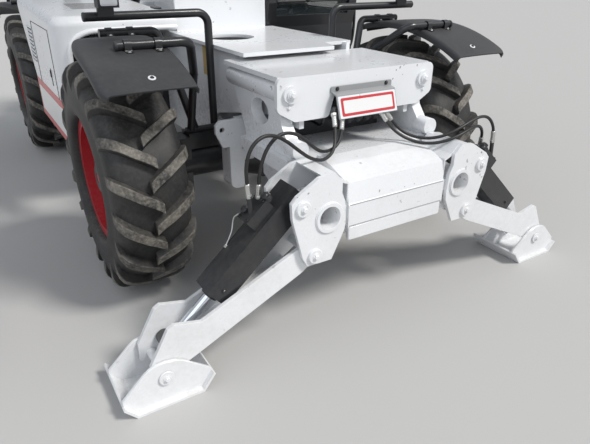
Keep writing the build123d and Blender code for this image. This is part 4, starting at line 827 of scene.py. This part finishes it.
def fender(s, end):
    """Grid of one fender: the section at each place of the arc, narrowed as a quarter ellipse at its rear."""
    turn = np.linspace(*(asin((y - FENDER_TURN[0]) / FENDER_R) for y in (-0.69, 0.29)), 46)
    turn = np.sort(np.concatenate([turn, turn[-1] - np.geomspace(0.0008, 0.018, 6)]))
    y = FENDER_TURN[0] + FENDER_R * np.sin(turn)
    late = np.clip((y + 0.4) / 0.69, 0, 1)
    early = np.clip((-0.64 - y) / 0.05, 0, 1)
    outer = 0.79 + 0.415 * np.sqrt(1 - 0.93 * late ** 2.4) - 0.024 * early ** 2
    inner = 0.79 + 0.05 * np.clip((y - 0.17) / 0.12, 0, 1) ** 2
    half, middle = (outer - inner) / 2, (outer + inner) / 2
    loops = np.stack([fender_section(h) for h in half])
    crown = 0.004 * (1 - (loops[..., 0] / 0.2075) ** 2)
    r = FENDER_R + loops[..., 1] + crown
    x = s * (middle[:, None] + loops[..., 0])
    y = FENDER_TURN[0] + r * np.sin(turn)[:, None]
    z = FENDER_TURN[1] + r * np.cos(turn)[:, None]
    if end == "rear":
        y = WHEELBASE - y
    grid = np.stack([x, y + AXLE_Y, z], -1)
    return grid if (s > 0) == (end == "front") else grid[:, ::-1]


for end, _ in AXLES:
    for side, s in LEFT_RIGHT:
        shell = surface(f"fender_{end}_{side}", fender(s, end), "chassis", PLASTIC, sharp=50.0)
        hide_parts("fenders")


def clamp(name, x, y, s):
    """Strap over a guard tube: feet, two short sides and a half circle, with a screw in each foot."""
    place, normal = on_fender(s * x, y, 0.004)
    place[1] += AXLE_Y
    along = np.array([0.0, normal[2], -normal[1]])
    bend = np.linspace(-pi / 2, pi / 2, 11)
    arc = np.stack([0.0235 * np.sin(bend), 0.021 + 0.0235 * np.cos(bend)], -1)
    path = np.concatenate([[(-0.05, 0.001), (-0.028, 0.001), (-0.0245, 0.005)], arc,
                           [(0.0245, 0.005), (0.028, 0.001), (0.05, 0.001)]])
    line = place + path[:, :1] * along + path[:, 1:] * normal
    section = np.array([(-0.0015, -0.016), (0.0015, -0.016), (0.0015, 0.016), (-0.0015, 0.016)])
    surface(name, framed(line, section, LEFT), "chassis", BLACK)
    feet = [place + a * along + 0.0025 * normal for a in (-0.04, 0.04)]
    bolts(name + "_screws", feet, normal, 0.0065)


for side, s in LEFT_RIGHT:
    for x, y, end in ((85, -0.35, "front"), (99, -0.35, "front"), (84, 0.11, "rear"), (95, 0.11, "rear")):
        clamp(f"fender_clamp_{side}_{x}_{end}", x / 100, y, s)
    place, normal = on_fender(s * 0.972, -0.615, 0.0042)
    place[1] += AXLE_Y
    washer = [(0, 17), (2, 17), (2.6, 15.5), (2.6, 6)]
    lathe(f"fender_washer_{side}", [place], normal, washer, WHITE)
    bolts(f"fender_rivet_{side}", [place + 0.002 * normal], normal, 0.0062, BLACK)
    plug = [(-6, 22.6), (1, 22.6), (5, 20.5), (6.5, 15.5), (7, 4)]
    for key, tip in (("low", on_fender(s * 1.04, -0.35, 0.0225)[0]), ("high", (s * 1.075, 0.05, 1.435))):
        lathe(f"tube_plug_{side}_{key}", [at(*tip)], (s, 0, 0), plug, PLASTIC)
print("fenders, clamps and plugs placed")

# %% [markdown]
# The engine hood's front edge has a bright rolled bead round the wheel recess, a slot with a pull latch, a
# row of louvres along the side and pressed seams. The slot, the gaps under the louvres and the seams are
# dark strips of painted shade. They break up a panel that would look like one block.

# %% Hood trim
LOUVRES = 9
# Painted shade: a near-black finish for slots, louvre gaps and pressed seams, standing in for the shade
# inside them.
shade_strip = Finish("painted_shade_strip")
shade_strip.put(Base_Color=shade_strip.mix(shade_strip.noise(40.0, 3.0), (0.012, 0.012, 0.013), (0.035, 0.034, 0.032)),
         Roughness=0.75)
PAINTED_SHADE = shade_strip.material
mouth = [(-1.062, 0.612), (-1.062, 1.15), (-1.057, 1.196), (-1.04, 1.238), (-1.006, 1.27), (-0.962, 1.29),
         (-0.915, 1.301), (-0.845, 1.302), (-0.372, 1.302)]
pipe("hood_mouth_bead", [at(x, 0.689, z) for x, z in mouth], 0.0165, WHITE, BACK, count=14)
# Each louvre has a dark strip of painted shade beneath it.
for row in range(LOUVRES):
    plate(f"hood_louvre_{row}", "right", at(-1.1405, 1.71, 1.025 + 0.028 * row), (200, 12, 5),
          [(0, 0), (4.5, 0.8), (6, 3)], WHITE)
    plate(f"hood_louvre_shade_{row}", "right", at(-1.1402, 1.71, 1.013 + 0.028 * row), (190, 11, 4), thin(1),
          PAINTED_SHADE)
# The slot behind the pull is a dark strip of painted shade.
plate("hood_slot_shade", "right", at(-1.1402, 1.015, 0.995), (26, 115, 11), thin(1.2), PAINTED_SHADE)
plate("hood_pull", "right", at(-1.1402, 1.015, 1.018), (14, 48, 6), thin(7, 2), BLACK)
plate("hood_latch", "front", at(-1.103, 0.6895, 0.906), (22, 52, 8), thin(5.5, 1.5, 2), BLACK)
# The pressed seams are thin dark rods of painted shade.
for key, y in (("front", 0.86), ("rear", 1.56)):
    line = along_line([at(-1.1405, y, z) for z in (0.64, 1.3)])
    rod(f"hood_crease_shade_{key}", line, 0.0022, PAINTED_SHADE, BACK, count=8)
line = along_line([at(-1.1405, y, 1.3) for y in (0.86, 1.56)])
rod("hood_crease_shade_top", line, 0.0022, PAINTED_SHADE, count=8)
print("hood trimmed with", LOUVRES, "louvres")

# %% [markdown]
# The beam's folded front shows two grooves across its width, drawn as thin grey rods of painted shade, and
# the nose's mouth has a dark flange above the valve cover. Black elbows with hexagon nuts sit on the port
# blocks, beside the hoses.

# %% Painted groove shade, lip and fittings of the front end
# Two thin grey rods across the beam's front are painted shade of its folded grooves.
for key, z in (("high", 0.701), ("low", 0.596)):
    line = along_line([at(x, -1.1338, z) for x in (-0.292, 0.292)])
    rod(f"beam_groove_shade_{key}", line, 0.0021, GREY, count=8)
plate("beam_lip", "front", at(0, -1.118, 0.555), (584, 70, 10), [(-10, 4), (0, 0), (11, 0), (14.5, 3.5)],
      WHITE)
plate("cover_flange", "front", at(0, -0.8035, 1.144), (372, 30, 6), thin(4, 1), GREY)
bolts("cover_flange_bolts", [at(x, -0.807, 1.146) for x in (-0.15, 0.15)], FRONT, 0.0075, BLACK)
for side, s in LEFT_RIGHT:
    body = f"ram_barrel_{side}"
    upward, along = ram_way(s, 0, 0, 1), ram_way(s, 1, 0, 0)
    lump = [(0, 20), (10, 21), (16, 18.5), (24, 17.5), (32, 18.5), (37, 15), (40, 6)]
    for key, a, y in (("far", 0.155, 0.024), ("near", 0.06, -0.026)):
        place = on_ram(s, a, y, 0.1)
        lathe(f"port_elbow_{side}_{key}", [place], upward, lump, BLACK, body, count=20)
        nut(f"port_elbow_nut_{side}_{key}", place + 0.02 * upward - 0.022 * along, along, body, 0.0125, 0.016,
            BLACK)
print("front end seams and elbows placed")

# %% [markdown]
# Behind the cover hangs the valve bank, which reads as a dark, busy gap in the photograph: coils side by side
# under the block, with caps and hexagon nuts, and ports on the manifold. A black panel behind them is painted
# shade, darkening the gap under the nose box.

# %% Valve bank
COIL_X = (-0.112, -0.056, 0.0, 0.056, 0.112)
coils = [at(x, -0.788, 1.031) for x in COIL_X]
coil = [(0, 23.5), (48, 23.5), (50, 21.5), (52, 12.5), (62, 12), (64, 10), (64, 2)]
lathe("valve_coils", coils, DOWN, coil, TRIM)
port = [(0, 17), (20, 17), (22, 13), (40, 13), (42, 10), (42, 2)]
lathe("valve_ports", [at(x, -0.7, 1.031) for x in COIL_X], DOWN, port, BLACK, count=6)
bolts("valve_nuts", [p - (0, 0, 0.0505) for p in coils], DOWN, 0.0085)
VALVE_PIPE = ((1, -0.7, 0.995), (1, -0.7, 0.955), (0.9, -0.64, 0.925), (0.8, -0.52, 0.935),
              (0.8, -0.42, 0.96), (0.8, -0.33, 1.0), (0.8, -0.245, 1.04))
for place, x in enumerate((-0.15, 0.0, 0.15)):
    route = [at(x * share, y, z) for share, y, z in VALVE_PIPE]
    pipe(f"valve_pipe_{place}", route, 0.008, BLACK, LEFT)
# A black panel under the nose box is painted shade: it darkens the gap between the nose's webs and the beam.
plate("nose_gap_shade", "front", at(0, -0.57, 0.9515), (624, 174, 6), thin(5, 1), BLACK)
print("valve bank with", len(coils), "coils")

# %% [markdown]
# Each foot's two ears run the whole length of its tray and up its turned ends, with rounded corners, and the
# rod's eye is a black sleeve between the leg's plates.

# %% Feet and rod eyes
EAR = np.array([(1060, 10), (1346, 10), (1392, 62), (1397.5, 72), (1395, 87), (1296, 181), (1272, 198),
                (1242, 206), (1205, 208), (1165, 202), (1130, 186), (1013, 97), (1004.5, 85), (1006, 74)])
EAR_MIDDLE = np.array([1200, 105])
for side, s in LEFT_RIGHT:
    ring = (EAR - EAR_MIDDLE)[::s] * (s, 1)
    for key, y in (("front", -1.12), ("rear", -0.9055)):
        slab(f"foot_ear_{side}_{key}", at(s * 1.2, y, 0.105), *FACES["front"], ring,
             [(0, 1), (1, 0), (12.2, 0), (14, 1.8)], f"foot_{side}", WHITE)
    sleeve = [(0, 22), (0, 33.5), (1.5, 34.5), (134.5, 34.5), (136, 33.5), (136, 22)]
    lathe(f"rod_eye_{side}", [at(s * 1.15, -0.952, 0.205)], FRONT, sleeve, BLACK, f"ram_rod_{side}", count=32)
    neck = [(-46, 24.5), (-44, 30), (-32, 32.5), (-20, 32.5)]
    lathe(f"rod_neck_{side}", [at(s * 1.15, -1.02, 0.205)], ram_way(s, 1, 0, 0), neck, BLACK,
          f"ram_rod_{side}")
print("feet and rod eyes done")

# %% [markdown]
# The driver's seat is foam under sewn vinyl. Each pad is a crowned closed form: a superellipse in plan whose
# height falls off towards its rim, with sewn channels pressed in across it and a piped seam round its edge.
# The formula gives the pulled-in sides directly, so the pads need no simulation behind the cab's dark glass.

# %% Seat
vinyl = Finish("seat_vinyl")
vinyl.put(Base_Color=vinyl.mix(dusty(vinyl, 0.28, 0.0, 0.1), (0.022, 0.022, 0.024), (0.16, 0.15, 0.13)),
          Roughness=vinyl.noise(30.0, 3.0) * 0.2 + 0.42)
vinyl.bump(vinyl.noise(420.0, 3.0), 0.35, 0.0006)
VINYL = vinyl.material
SEAT_X, SEAT_REAR = 0.76265, 2.0098


def pad(name, middle, across, along, half, thick, channels, bolster=0.0):
    """Closed pad: plan |u|^5 + |v|^5 = 1, height thick * sqrt(1 - r^6) above and 0.45 of it below.

    The channels follow one another along v, and the bolsters rise at both ends of u.
    """
    across, along = unit(across), unit(along)
    up = np.cross(across, along)
    turn = np.arange(72) * 2 * pi / 72
    reach = (np.abs(np.cos(turn)) ** 5 + np.abs(np.sin(turn)) ** 5) ** (-1 / 5)
    ring = np.concatenate([np.linspace(0.04, 0.9, 26), np.linspace(0.92, 1.0, 9)])
    rows = np.concatenate([ring, ring[::-1]])
    level = np.sqrt(1.0001 - rows ** 6)
    level[len(ring):] *= -0.45
    u = rows[:, None] * reach * np.cos(turn)
    v = rows[:, None] * reach * np.sin(turn)
    height = thick * level[:, None] * np.ones_like(u)
    sewn = np.exp(-((np.mod(v * channels + 0.5, 1.0) - 0.5) / 0.085) ** 2) * (np.abs(u) < 0.62)
    raised = bolster * np.clip((np.abs(u) - 0.62) / 0.3, 0, 1) ** 2 - 0.011 * sewn
    height[:len(ring)] += raised[:len(ring)]
    piping = np.exp(-((rows - 1.0) / 0.02) ** 2)[:, None] * 0.004
    grid = (np.asarray(middle) + (u * (half[0] + piping))[..., None] * across
            + (v * (half[1] + piping))[..., None] * along + height[..., None] * up)
    return surface(name, grid[:, ::-1], "chassis", VINYL, sharp=60.0)


def seat_at(x, y, z):
    """A point from the seat's middle line and its rear."""
    return at(SEAT_X + x, SEAT_REAR + y, z)


SEAT_BACK = (RIGHT, (0, 0.15, 1))
seat_pads = [
    pad("seat_cushion", seat_at(0, -0.335, 1.035), *FACES["top"], (0.236, 0.25), 0.06, 3.0, 0.022),
    pad("seat_back", seat_at(0, -0.085, 1.385), *SEAT_BACK, (0.226, 0.285), 0.058, 3.5, 0.02),
    pad("seat_headrest", seat_at(0, -0.052, 1.64), *SEAT_BACK, (0.14, 0.055), 0.042, 0.0),
]
for piece in seat_pads:
    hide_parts("cab_seat")
levels = [(0, 0), (40, 0), (60, 20), (200, 30), (240, 0), (325, -15), (335, -5)]
base = plate("seat_base", "top", seat_at(0, -0.32, 0.6856), (360, 420, 30), levels, TRIM)
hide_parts("cab_seat")
levels = [(-20, 0), (-12, -4), (0, 0), (12, 20)]
plate("seat_shell", SEAT_BACK, seat_at(0, -0.035, 1.42), (420, 560, 60), levels, TRIM)
levels = [(-18, 6), (-10, 0), (12, 0), (20, 10)]
for side, s in LEFT_RIGHT:
    plate(f"armrest_{side}", "top", seat_at(s * 0.262, -0.3, 1.235), (60, 300, 28), levels, VINYL)
print("seat pads", len(seat_pads))

# %% [markdown]
# Inside the cab: a lever and a screen. Outside: rubber seals round the panes, a door handle, a wiper, a grab
# bar, work lamps, a beacon and the roof's ribs. All of it is small, and it gives the plain cab its scale.

# %% Cab details
def seal(name, points, body="chassis", side=LEFT):
    """Rubber profile along a closed outline."""
    rod(name, along_line(points + points[:1]), 0.009, TRIM, side, body, count=8)


DOOR_UPPER = [(0.955, 1.34), (0.955, 1.4), (1.075, 2.29), (1.965, 2.29), (1.965, 1.34)]
DOOR_LOWER = [(0.955, 0.83), (0.955, 1.23), (1.965, 1.23), (1.965, 0.83)]
CAB_SIDE = [(0.91, 1.3), (0.96, 2.34), (1.99, 2.34), (2.02, 1.3)]
for key, outline in (("upper", DOOR_UPPER), ("lower", DOOR_LOWER)):
    seal(f"door_seal_{key}", [at(1.16, y, z) for y, z in outline], "door")
seal("cab_side_seal", [at(0.3655, y, z) for y, z in CAB_SIDE])
REAR_PANE = [(0.436, 1.4), (0.436, 2.3), (1.09, 2.3), (1.09, 1.4)]


def rear_y(z):
    """The cab's rear wall leans forward above its bend."""
    return 2.12 - 0.06 * np.clip((z - 1.5) / 0.97, 0, 1)


seal("cab_rear_seal", [at(x, rear_y(z), z) for x, z in REAR_PANE], side=BACK)


def screen_y(z):
    """The windscreen's plane: from the nose of the cab at 1.42 back to its roof."""
    return 0.76 + 0.18 * (z - 1.42) / 1.05


SCREEN = [(0.436, 1.43), (0.436, 2.35), (1.09, 2.35), (1.09, 1.43)]
seal("windscreen_seal", [at(x, screen_y(z), z) for x, z in SCREEN], side=FRONT)


def on_screen(x, z, gap):
    """A point this far in front of the windscreen."""
    return at(x, screen_y(z) - gap, z)


arm = [on_screen(0.7, 1.44, 0.016), on_screen(0.76, 1.7, 0.022), on_screen(0.83, 1.98, 0.016)]
pipe("wiper_arm", arm, 0.0055, BLACK, FRONT, count=8)
blade = along_line([on_screen(0.72, 1.69, 0.01), on_screen(0.94, 2.27, 0.01)], 0.03)
rod("wiper_blade", blade, 0.0065, TRIM, FRONT, count=8)
motor = [(0, 22), (12, 22), (18, 14), (22, 6)]
lathe("wiper_motor", [on_screen(0.7, 1.44, 0.002)], FRONT, motor, BLACK, count=20)
HANDLE = ((1.166, 0.985), (1.2, 0.99), (1.206, 1.05), (1.2, 1.11), (1.166, 1.115))
pipe("door_handle", [at(x, y, 1.285) for x, y in HANDLE], 0.01, BLACK, body="door")
plate("door_lock", "left", at(1.1602, 1.045, 1.285), (170, 60, 16), thin(4), TRIM, "door")
plate("door_pocket", "left", at(1.1602, 1.46, 0.775), (800, 50, 12), thin(6, 3, 4), TRIM, "door")
RAIL = ((1.16, 0.84, 1.05), (1.205, 0.836, 1.07), (1.205, 0.836, 1.48), (1.16, 0.848, 1.5))
pipe("cab_grab_bar", [at(*point) for point in RAIL], 0.012, BLACK, BACK)
for row in range(5):
    plate(f"roof_rib_{row}", "top", at(0.39 + 0.185 * row + 0.02, 1.52, 2.5245), (55, 900, 25),
          [(0, 0), (6, 4), (8, 12)], BLACK)
AMBER = painted("lens_amber", (0.62, 0.2, 0.02), 0.15, 0.22, coat=0.6)
LENS_RED = painted("lens_red", (0.46, 0.012, 0.012), 0.15, 0.22, coat=0.6)
LENS_CLEAR = painted("lens_clear", (0.62, 0.64, 0.66), 0.1, 0.1, coat=0.8)
LAMP_FACE = (LEFT, (0, -0.15, 1))
housing = [(-30, 12), (0, 0), (30, 0), (36, 3)]
for key, x in (("left", 1.05), ("right", 0.48)):
    place = at(x, 0.9045, 2.455)
    plate(f"work_lamp_{key}", LAMP_FACE, place, (125, 75, 16), housing, BLACK)
    plate(f"work_lens_{key}", LAMP_FACE, place + 0.036 * unit((0, -1, -0.15)), (110, 60, 12), thin(4, 2, 6),
          LENS_CLEAR)
beacon = [(0, 52), (22, 52), (26, 46), (30, 44), (95, 38), (112, 28), (118, 10)]
lathe("beacon", [at(1.045, 1.93, 2.524)], UP, beacon, AMBER)
lever = [(0, 20), (10, 18), (16, 7), (110, 6.5), (120, 17), (150, 22), (175, 19), (185, 8)]
lathe("lever", [at(0.5, 1.25, 1.238)], (0.0, -0.15, 1), lever, TRIM, count=20)
plate("screen", (LEFT, (0, -0.3, 1)), at(0.56, 1.01, 1.3), (200, 130, 14),
      [(-22, 6), (-16, 0), (10, 0), (14, 4)], TRIM)
print("cab dressed")

# %% [markdown]
# Lamps, mirror, plates and steps: lenses with a soft edge on the CAD housings, a silvered mirror face, treads
# of ribbed steel in the tank's two steps and a filler cap.

# %% Lamps, mirror and steps
silver = Finish("mirror_face", Metallic=1.0, Base_Color=(0.8, 0.82, 0.84, 1.0))
silver.put(Roughness=silver.noise(12.0, 3.0).step(0.5, 0.9) * 0.15 + 0.03)
plate("mirror_glass", "back", at(1.29, 0.8002, 1.885), (120, 225, 18), thin(2), silver.material)
for side, s in LEFT_RIGHT:
    plate(f"headlamp_ring_{side}", "front", at(s * 0.97, -0.0503, 1.53), (98, 98, 14), thin(6, 2, 3), TRIM)
    plate(f"headlamp_lens_{side}", "front", at(s * 0.97, -0.056, 1.53), (82, 82, 10),
          [(0, 0), (2, 1), (5, 10)], LENS_CLEAR)
    for key, x, wide, finish in (("stop", 0.585, 78, LENS_RED), ("turn", 0.652, 50, AMBER)):
        plate(f"tail_{key}_{side}", "back", at(s * x, 4.0521, 1.04), (wide, 76, 7),
              [(0, 0), (4, 0.5), (8, 6)], finish)
    bolts(f"lamp_bolt_{side}", [at(s * 0.97, 0.0452, z) for z in (1.5, 1.56)], BACK, 0.006)
    plate(f"reflector_{side}", "back", at(s * 0.61, 4.0402, 0.945), (75, 38, 8), [(0, 0), (3, 0.5), (5, 5)],
          LENS_RED)
plate("rear_plate", "back", at(-0.3, 4.0402, 0.79), (300, 125, 10), thin(2.5), PLATE_WHITE)
bolts("rear_plate_bolts", [at(x, 4.0425, 0.79) for x in (-0.42, -0.18)], BACK, 0.006)
bolts("tail_bolts", [at(x, 4.0402, z) for x in (-0.24, 0.24) for z in (0.95, 1.13)], BACK, 0.018, BLACK)
for step, z in ((0, 0.43), (1, 0.545)):
    for bar in range(4):
        plate(f"tread_{step}_{bar}", "top", at(1.018 + 0.028 * bar, 1.275, z), (12, 430, 4),
              [(0, 0), (5, 1), (7, 3)], ZINC)
lid = [(0, 46), (6, 46), (10, 42), (12, 36), (30, 35), (34, 31), (35, 10)]
lathe("tank_cap", [at(1.12, 1.76, 0.54)], LEFT, lid, TRIM, count=32)
print("lamps, plates and steps placed")

# %% [markdown]
# The exhaust's shield has slots and two bands. Hinges, the air intake's bowl and a row of slots sit on the
# hood. Every slot is a dark strip of painted shade, standing in for the shade inside it.

# %% Exhaust and hood top
# Each shield slot is a dark strip of painted shade.
for place, (x, y) in enumerate(circle(1.0, 10)):
    plate(f"shield_slot_shade_{place}", ((-y, x, 0), UP), at(-0.52, 1.96, 1.607) + 0.0638 * np.array([x, y, 0]),
          (12, 150, 5.5), thin(1), PAINTED_SHADE)
band = [(-10, 64.2), (-8, 66.2), (8, 66.2), (10, 64.2)]
for key, z in (("low", 1.512), ("high", 1.702)):
    lathe(f"shield_band_{key}", [at(-0.52, 1.96, z)], UP, band, ZINC, count=40)


HOOD_TOP = (LEFT, (0, 1, 0.041))


def on_hood(x, y, gap):
    """A point this far under the hood's sloped top."""
    return at(x, y, 1.385 + 0.06 * (y - 0.6897) / 1.4606 - gap)


for key, y in (("front", 0.98), ("rear", 1.62)):
    plate(f"hood_hinge_{key}", HOOD_TOP, on_hood(-0.405, y, 0.0005), (50, 100, 8), thin(10, 2), BLACK)
intake = [(0, 60), (40, 60), (50, 52), (55, 78), (100, 82), (125, 70), (132, 30)]
lathe("intake", [on_hood(-0.78, 1.84, 0.004)], UP, intake, PLASTIC, count=36)
# Each hood top slot is a dark strip of painted shade.
for row in range(7):
    plate(f"hood_top_slot_shade_{row}", HOOD_TOP, on_hood(-0.8, 1.1 + 0.05 * row, 0.0002), (260, 16, 7), thin(1),
          PAINTED_SHADE)
print("hood top dressed")

# %% [markdown]
# The boom: plastic wear pads with their screws at each section's mouth, three steel pipes in clamps along the
# outer section's left side, weld beads where the cylinder lugs meet it, and pin covers. Pieces ride on the
# section that carries them, so that they travel when the boom extends.

# %% Boom details
BOOM_LEAN = radians(25)


def boom_way(x, along, up):
    """Direction on the raised boom."""
    return np.array([x, -along * cos(BOOM_LEAN) + up * sin(BOOM_LEAN),
                     along * sin(BOOM_LEAN) + up * cos(BOOM_LEAN)])


def on_boom(x, along, up):
    """Point on the raised boom from its pivot, in the place where it rests."""
    return at(x, 3.6 - along * cos(BOOM_LEAN) + up * sin(BOOM_LEAN),
              1.93 + along * sin(BOOM_LEAN) + up * cos(BOOM_LEAN))


WEAR_PAD = painted("wear_pad", (0.045, 0.045, 0.047), 0.2, 0.5, coat=0.0)
ABOVE = tuple(boom_way(0, 0, 1))
BOOM_SIDE = (tuple(boom_way(0, 1, 0)), ABOVE)
BOOM_PIPE_CLAMPS = (0.4, 1.2, 2.0, 2.8, 3.6, 4.25)
for body, half, height, end in (("boom_outer", 0.15, 0.21, 4.65), ("boom_middle", 0.131, 0.18, 4.84)):
    for side, s in LEFT_RIGHT:
        out = np.array([s, 0.0, 0.0])
        for row, up in enumerate((0.06 - height + 0.075, 0.06 + height - 0.075)):
            facing = (tuple(boom_way(0, s, 0)), ABOVE)
            plate(f"{body}_pad_{side}_{row}", facing, on_boom(s * (half + 0.0121), end - 0.055, up),
                  (85, 70, 8), thin(10, 2), WEAR_PAD, body)
            places = [on_boom(s * (half + 0.0221), end - 0.055 + a, up) for a in (-0.026, 0.026)]
            bolts(f"{body}_pad_bolts_{side}_{row}", places, out, 0.0075, body=body)
        beads = [on_boom(s * (half + 0.001), end - 0.1105, 0.06 + k * (height - 0.01)) for k in (-1, 1)]
        weld(f"{body}_collar_weld_{side}", beads, body)
for side, s in LEFT_RIGHT:
    lug = [on_boom(s * 0.0905, 1.4 + a, -0.151) for a in (-0.168, 0.168)]
    weld(f"lug_weld_{side}", lug, "boom_outer")
    cap = [(0, 46), (6, 46), (10, 42), (11, 20)]
    lathe(f"boom_pin_cap_{side}", [on_boom(s * 0.3752, 0, 0)], (s, 0, 0), cap, BLACK, "boom_outer", count=36)
    bolts(f"boom_pin_bolt_{side}", [on_boom(s * 0.385, 0, 0)], (s, 0, 0), 0.014, body="boom_outer")
    retainer = [at(s * 0.3655, 3.6 + 0.085 * cos(a), 1.93 + 0.085 * sin(a)) for a in (0.6, 2.5)]
    bolts(f"tower_bolts_{side}", retainer, (s, 0, 0), 0.012)
for line, up in enumerate((0.085, 0.06, 0.035)):
    route = [(0.16, 0.05, up), (0.162, 0.5, up), (0.162, 2.0, up), (0.162, 3.9, up), (0.162, 4.3, up),
             (0.157, 4.4, up - 0.01)]
    pipe(f"boom_pipe_{line}", [on_boom(*point) for point in route], 0.0085, ZINC, LEFT, "boom_outer")
for place, along in enumerate(BOOM_PIPE_CLAMPS):
    plate(f"pipe_clamp_{place}", BOOM_SIDE, on_boom(0.15, along, 0.06), (40, 100, 6), thin(24, 4), BLACK,
          "boom_outer")
    bolts(f"pipe_clamp_bolts_{place}", [on_boom(0.174, along, up) for up in (0.0725, 0.0475)], (1, 0, 0),
          0.0055, body="boom_outer")
print("boom dressed")

# %% [markdown]
# Light and floor. The sun stands on the photographer's right, a little behind the camera, and is broad and
# soft. A second, bluish one from the left and a pale sky fill the shadows. The floor is plain and pale.

# %% Floor and light
def sun(name, place, energy, angle, colour):
    """A sun that shines from the place to the machine's middle, seen under the angle."""
    data = bpy.data.lights.new(name, "SUN")
    data.energy, data.color, data.angle = energy, colour, radians(angle)
    lamp = bpy.data.objects.new(name, data)
    back = unit(place)
    side = unit(np.cross(UP, back))
    m = np.eye(4)
    m[:3, 0], m[:3, 1], m[:3, 2], m[:3, 3] = side, np.cross(back, side), back, place
    lamp.matrix_world = Matrix(m)
    bpy.context.collection.objects.link(lamp)


sun("key", (6.6, -9.0, 12.6), 2.9, 14, (1.0, 0.975, 0.94))
sun("fill", (-9.0, -6.0, 8.0), 0.7, 60, (0.88, 0.93, 1.0))
world = bpy.data.worlds.new("sky")
bpy.context.scene.world = world
world.use_nodes = True
sky = world.node_tree.nodes["Background"]
sky.inputs[0].default_value = (0.8, 0.84, 0.9, 1.0)
sky.inputs[1].default_value = 0.55

FLOOR_HALF = 40.0
corners = [(x * FLOOR_HALF, y * FLOOR_HALF, 0) for x, y in ((-1, -1), (1, -1), (1, 1), (-1, 1))]
floor_mesh = bpy.data.meshes.new("floor")
floor_mesh.from_pydata(corners, [], [(0, 1, 2, 3)])
floor = bpy.data.objects.new("floor", floor_mesh)
bpy.context.collection.objects.link(floor)
floor_mesh.materials.append(Finish("ground", Base_Color=(0.46, 0.455, 0.445, 1.0), Roughness=0.85).material)
bpy.context.scene.view_settings.view_transform = "Standard"
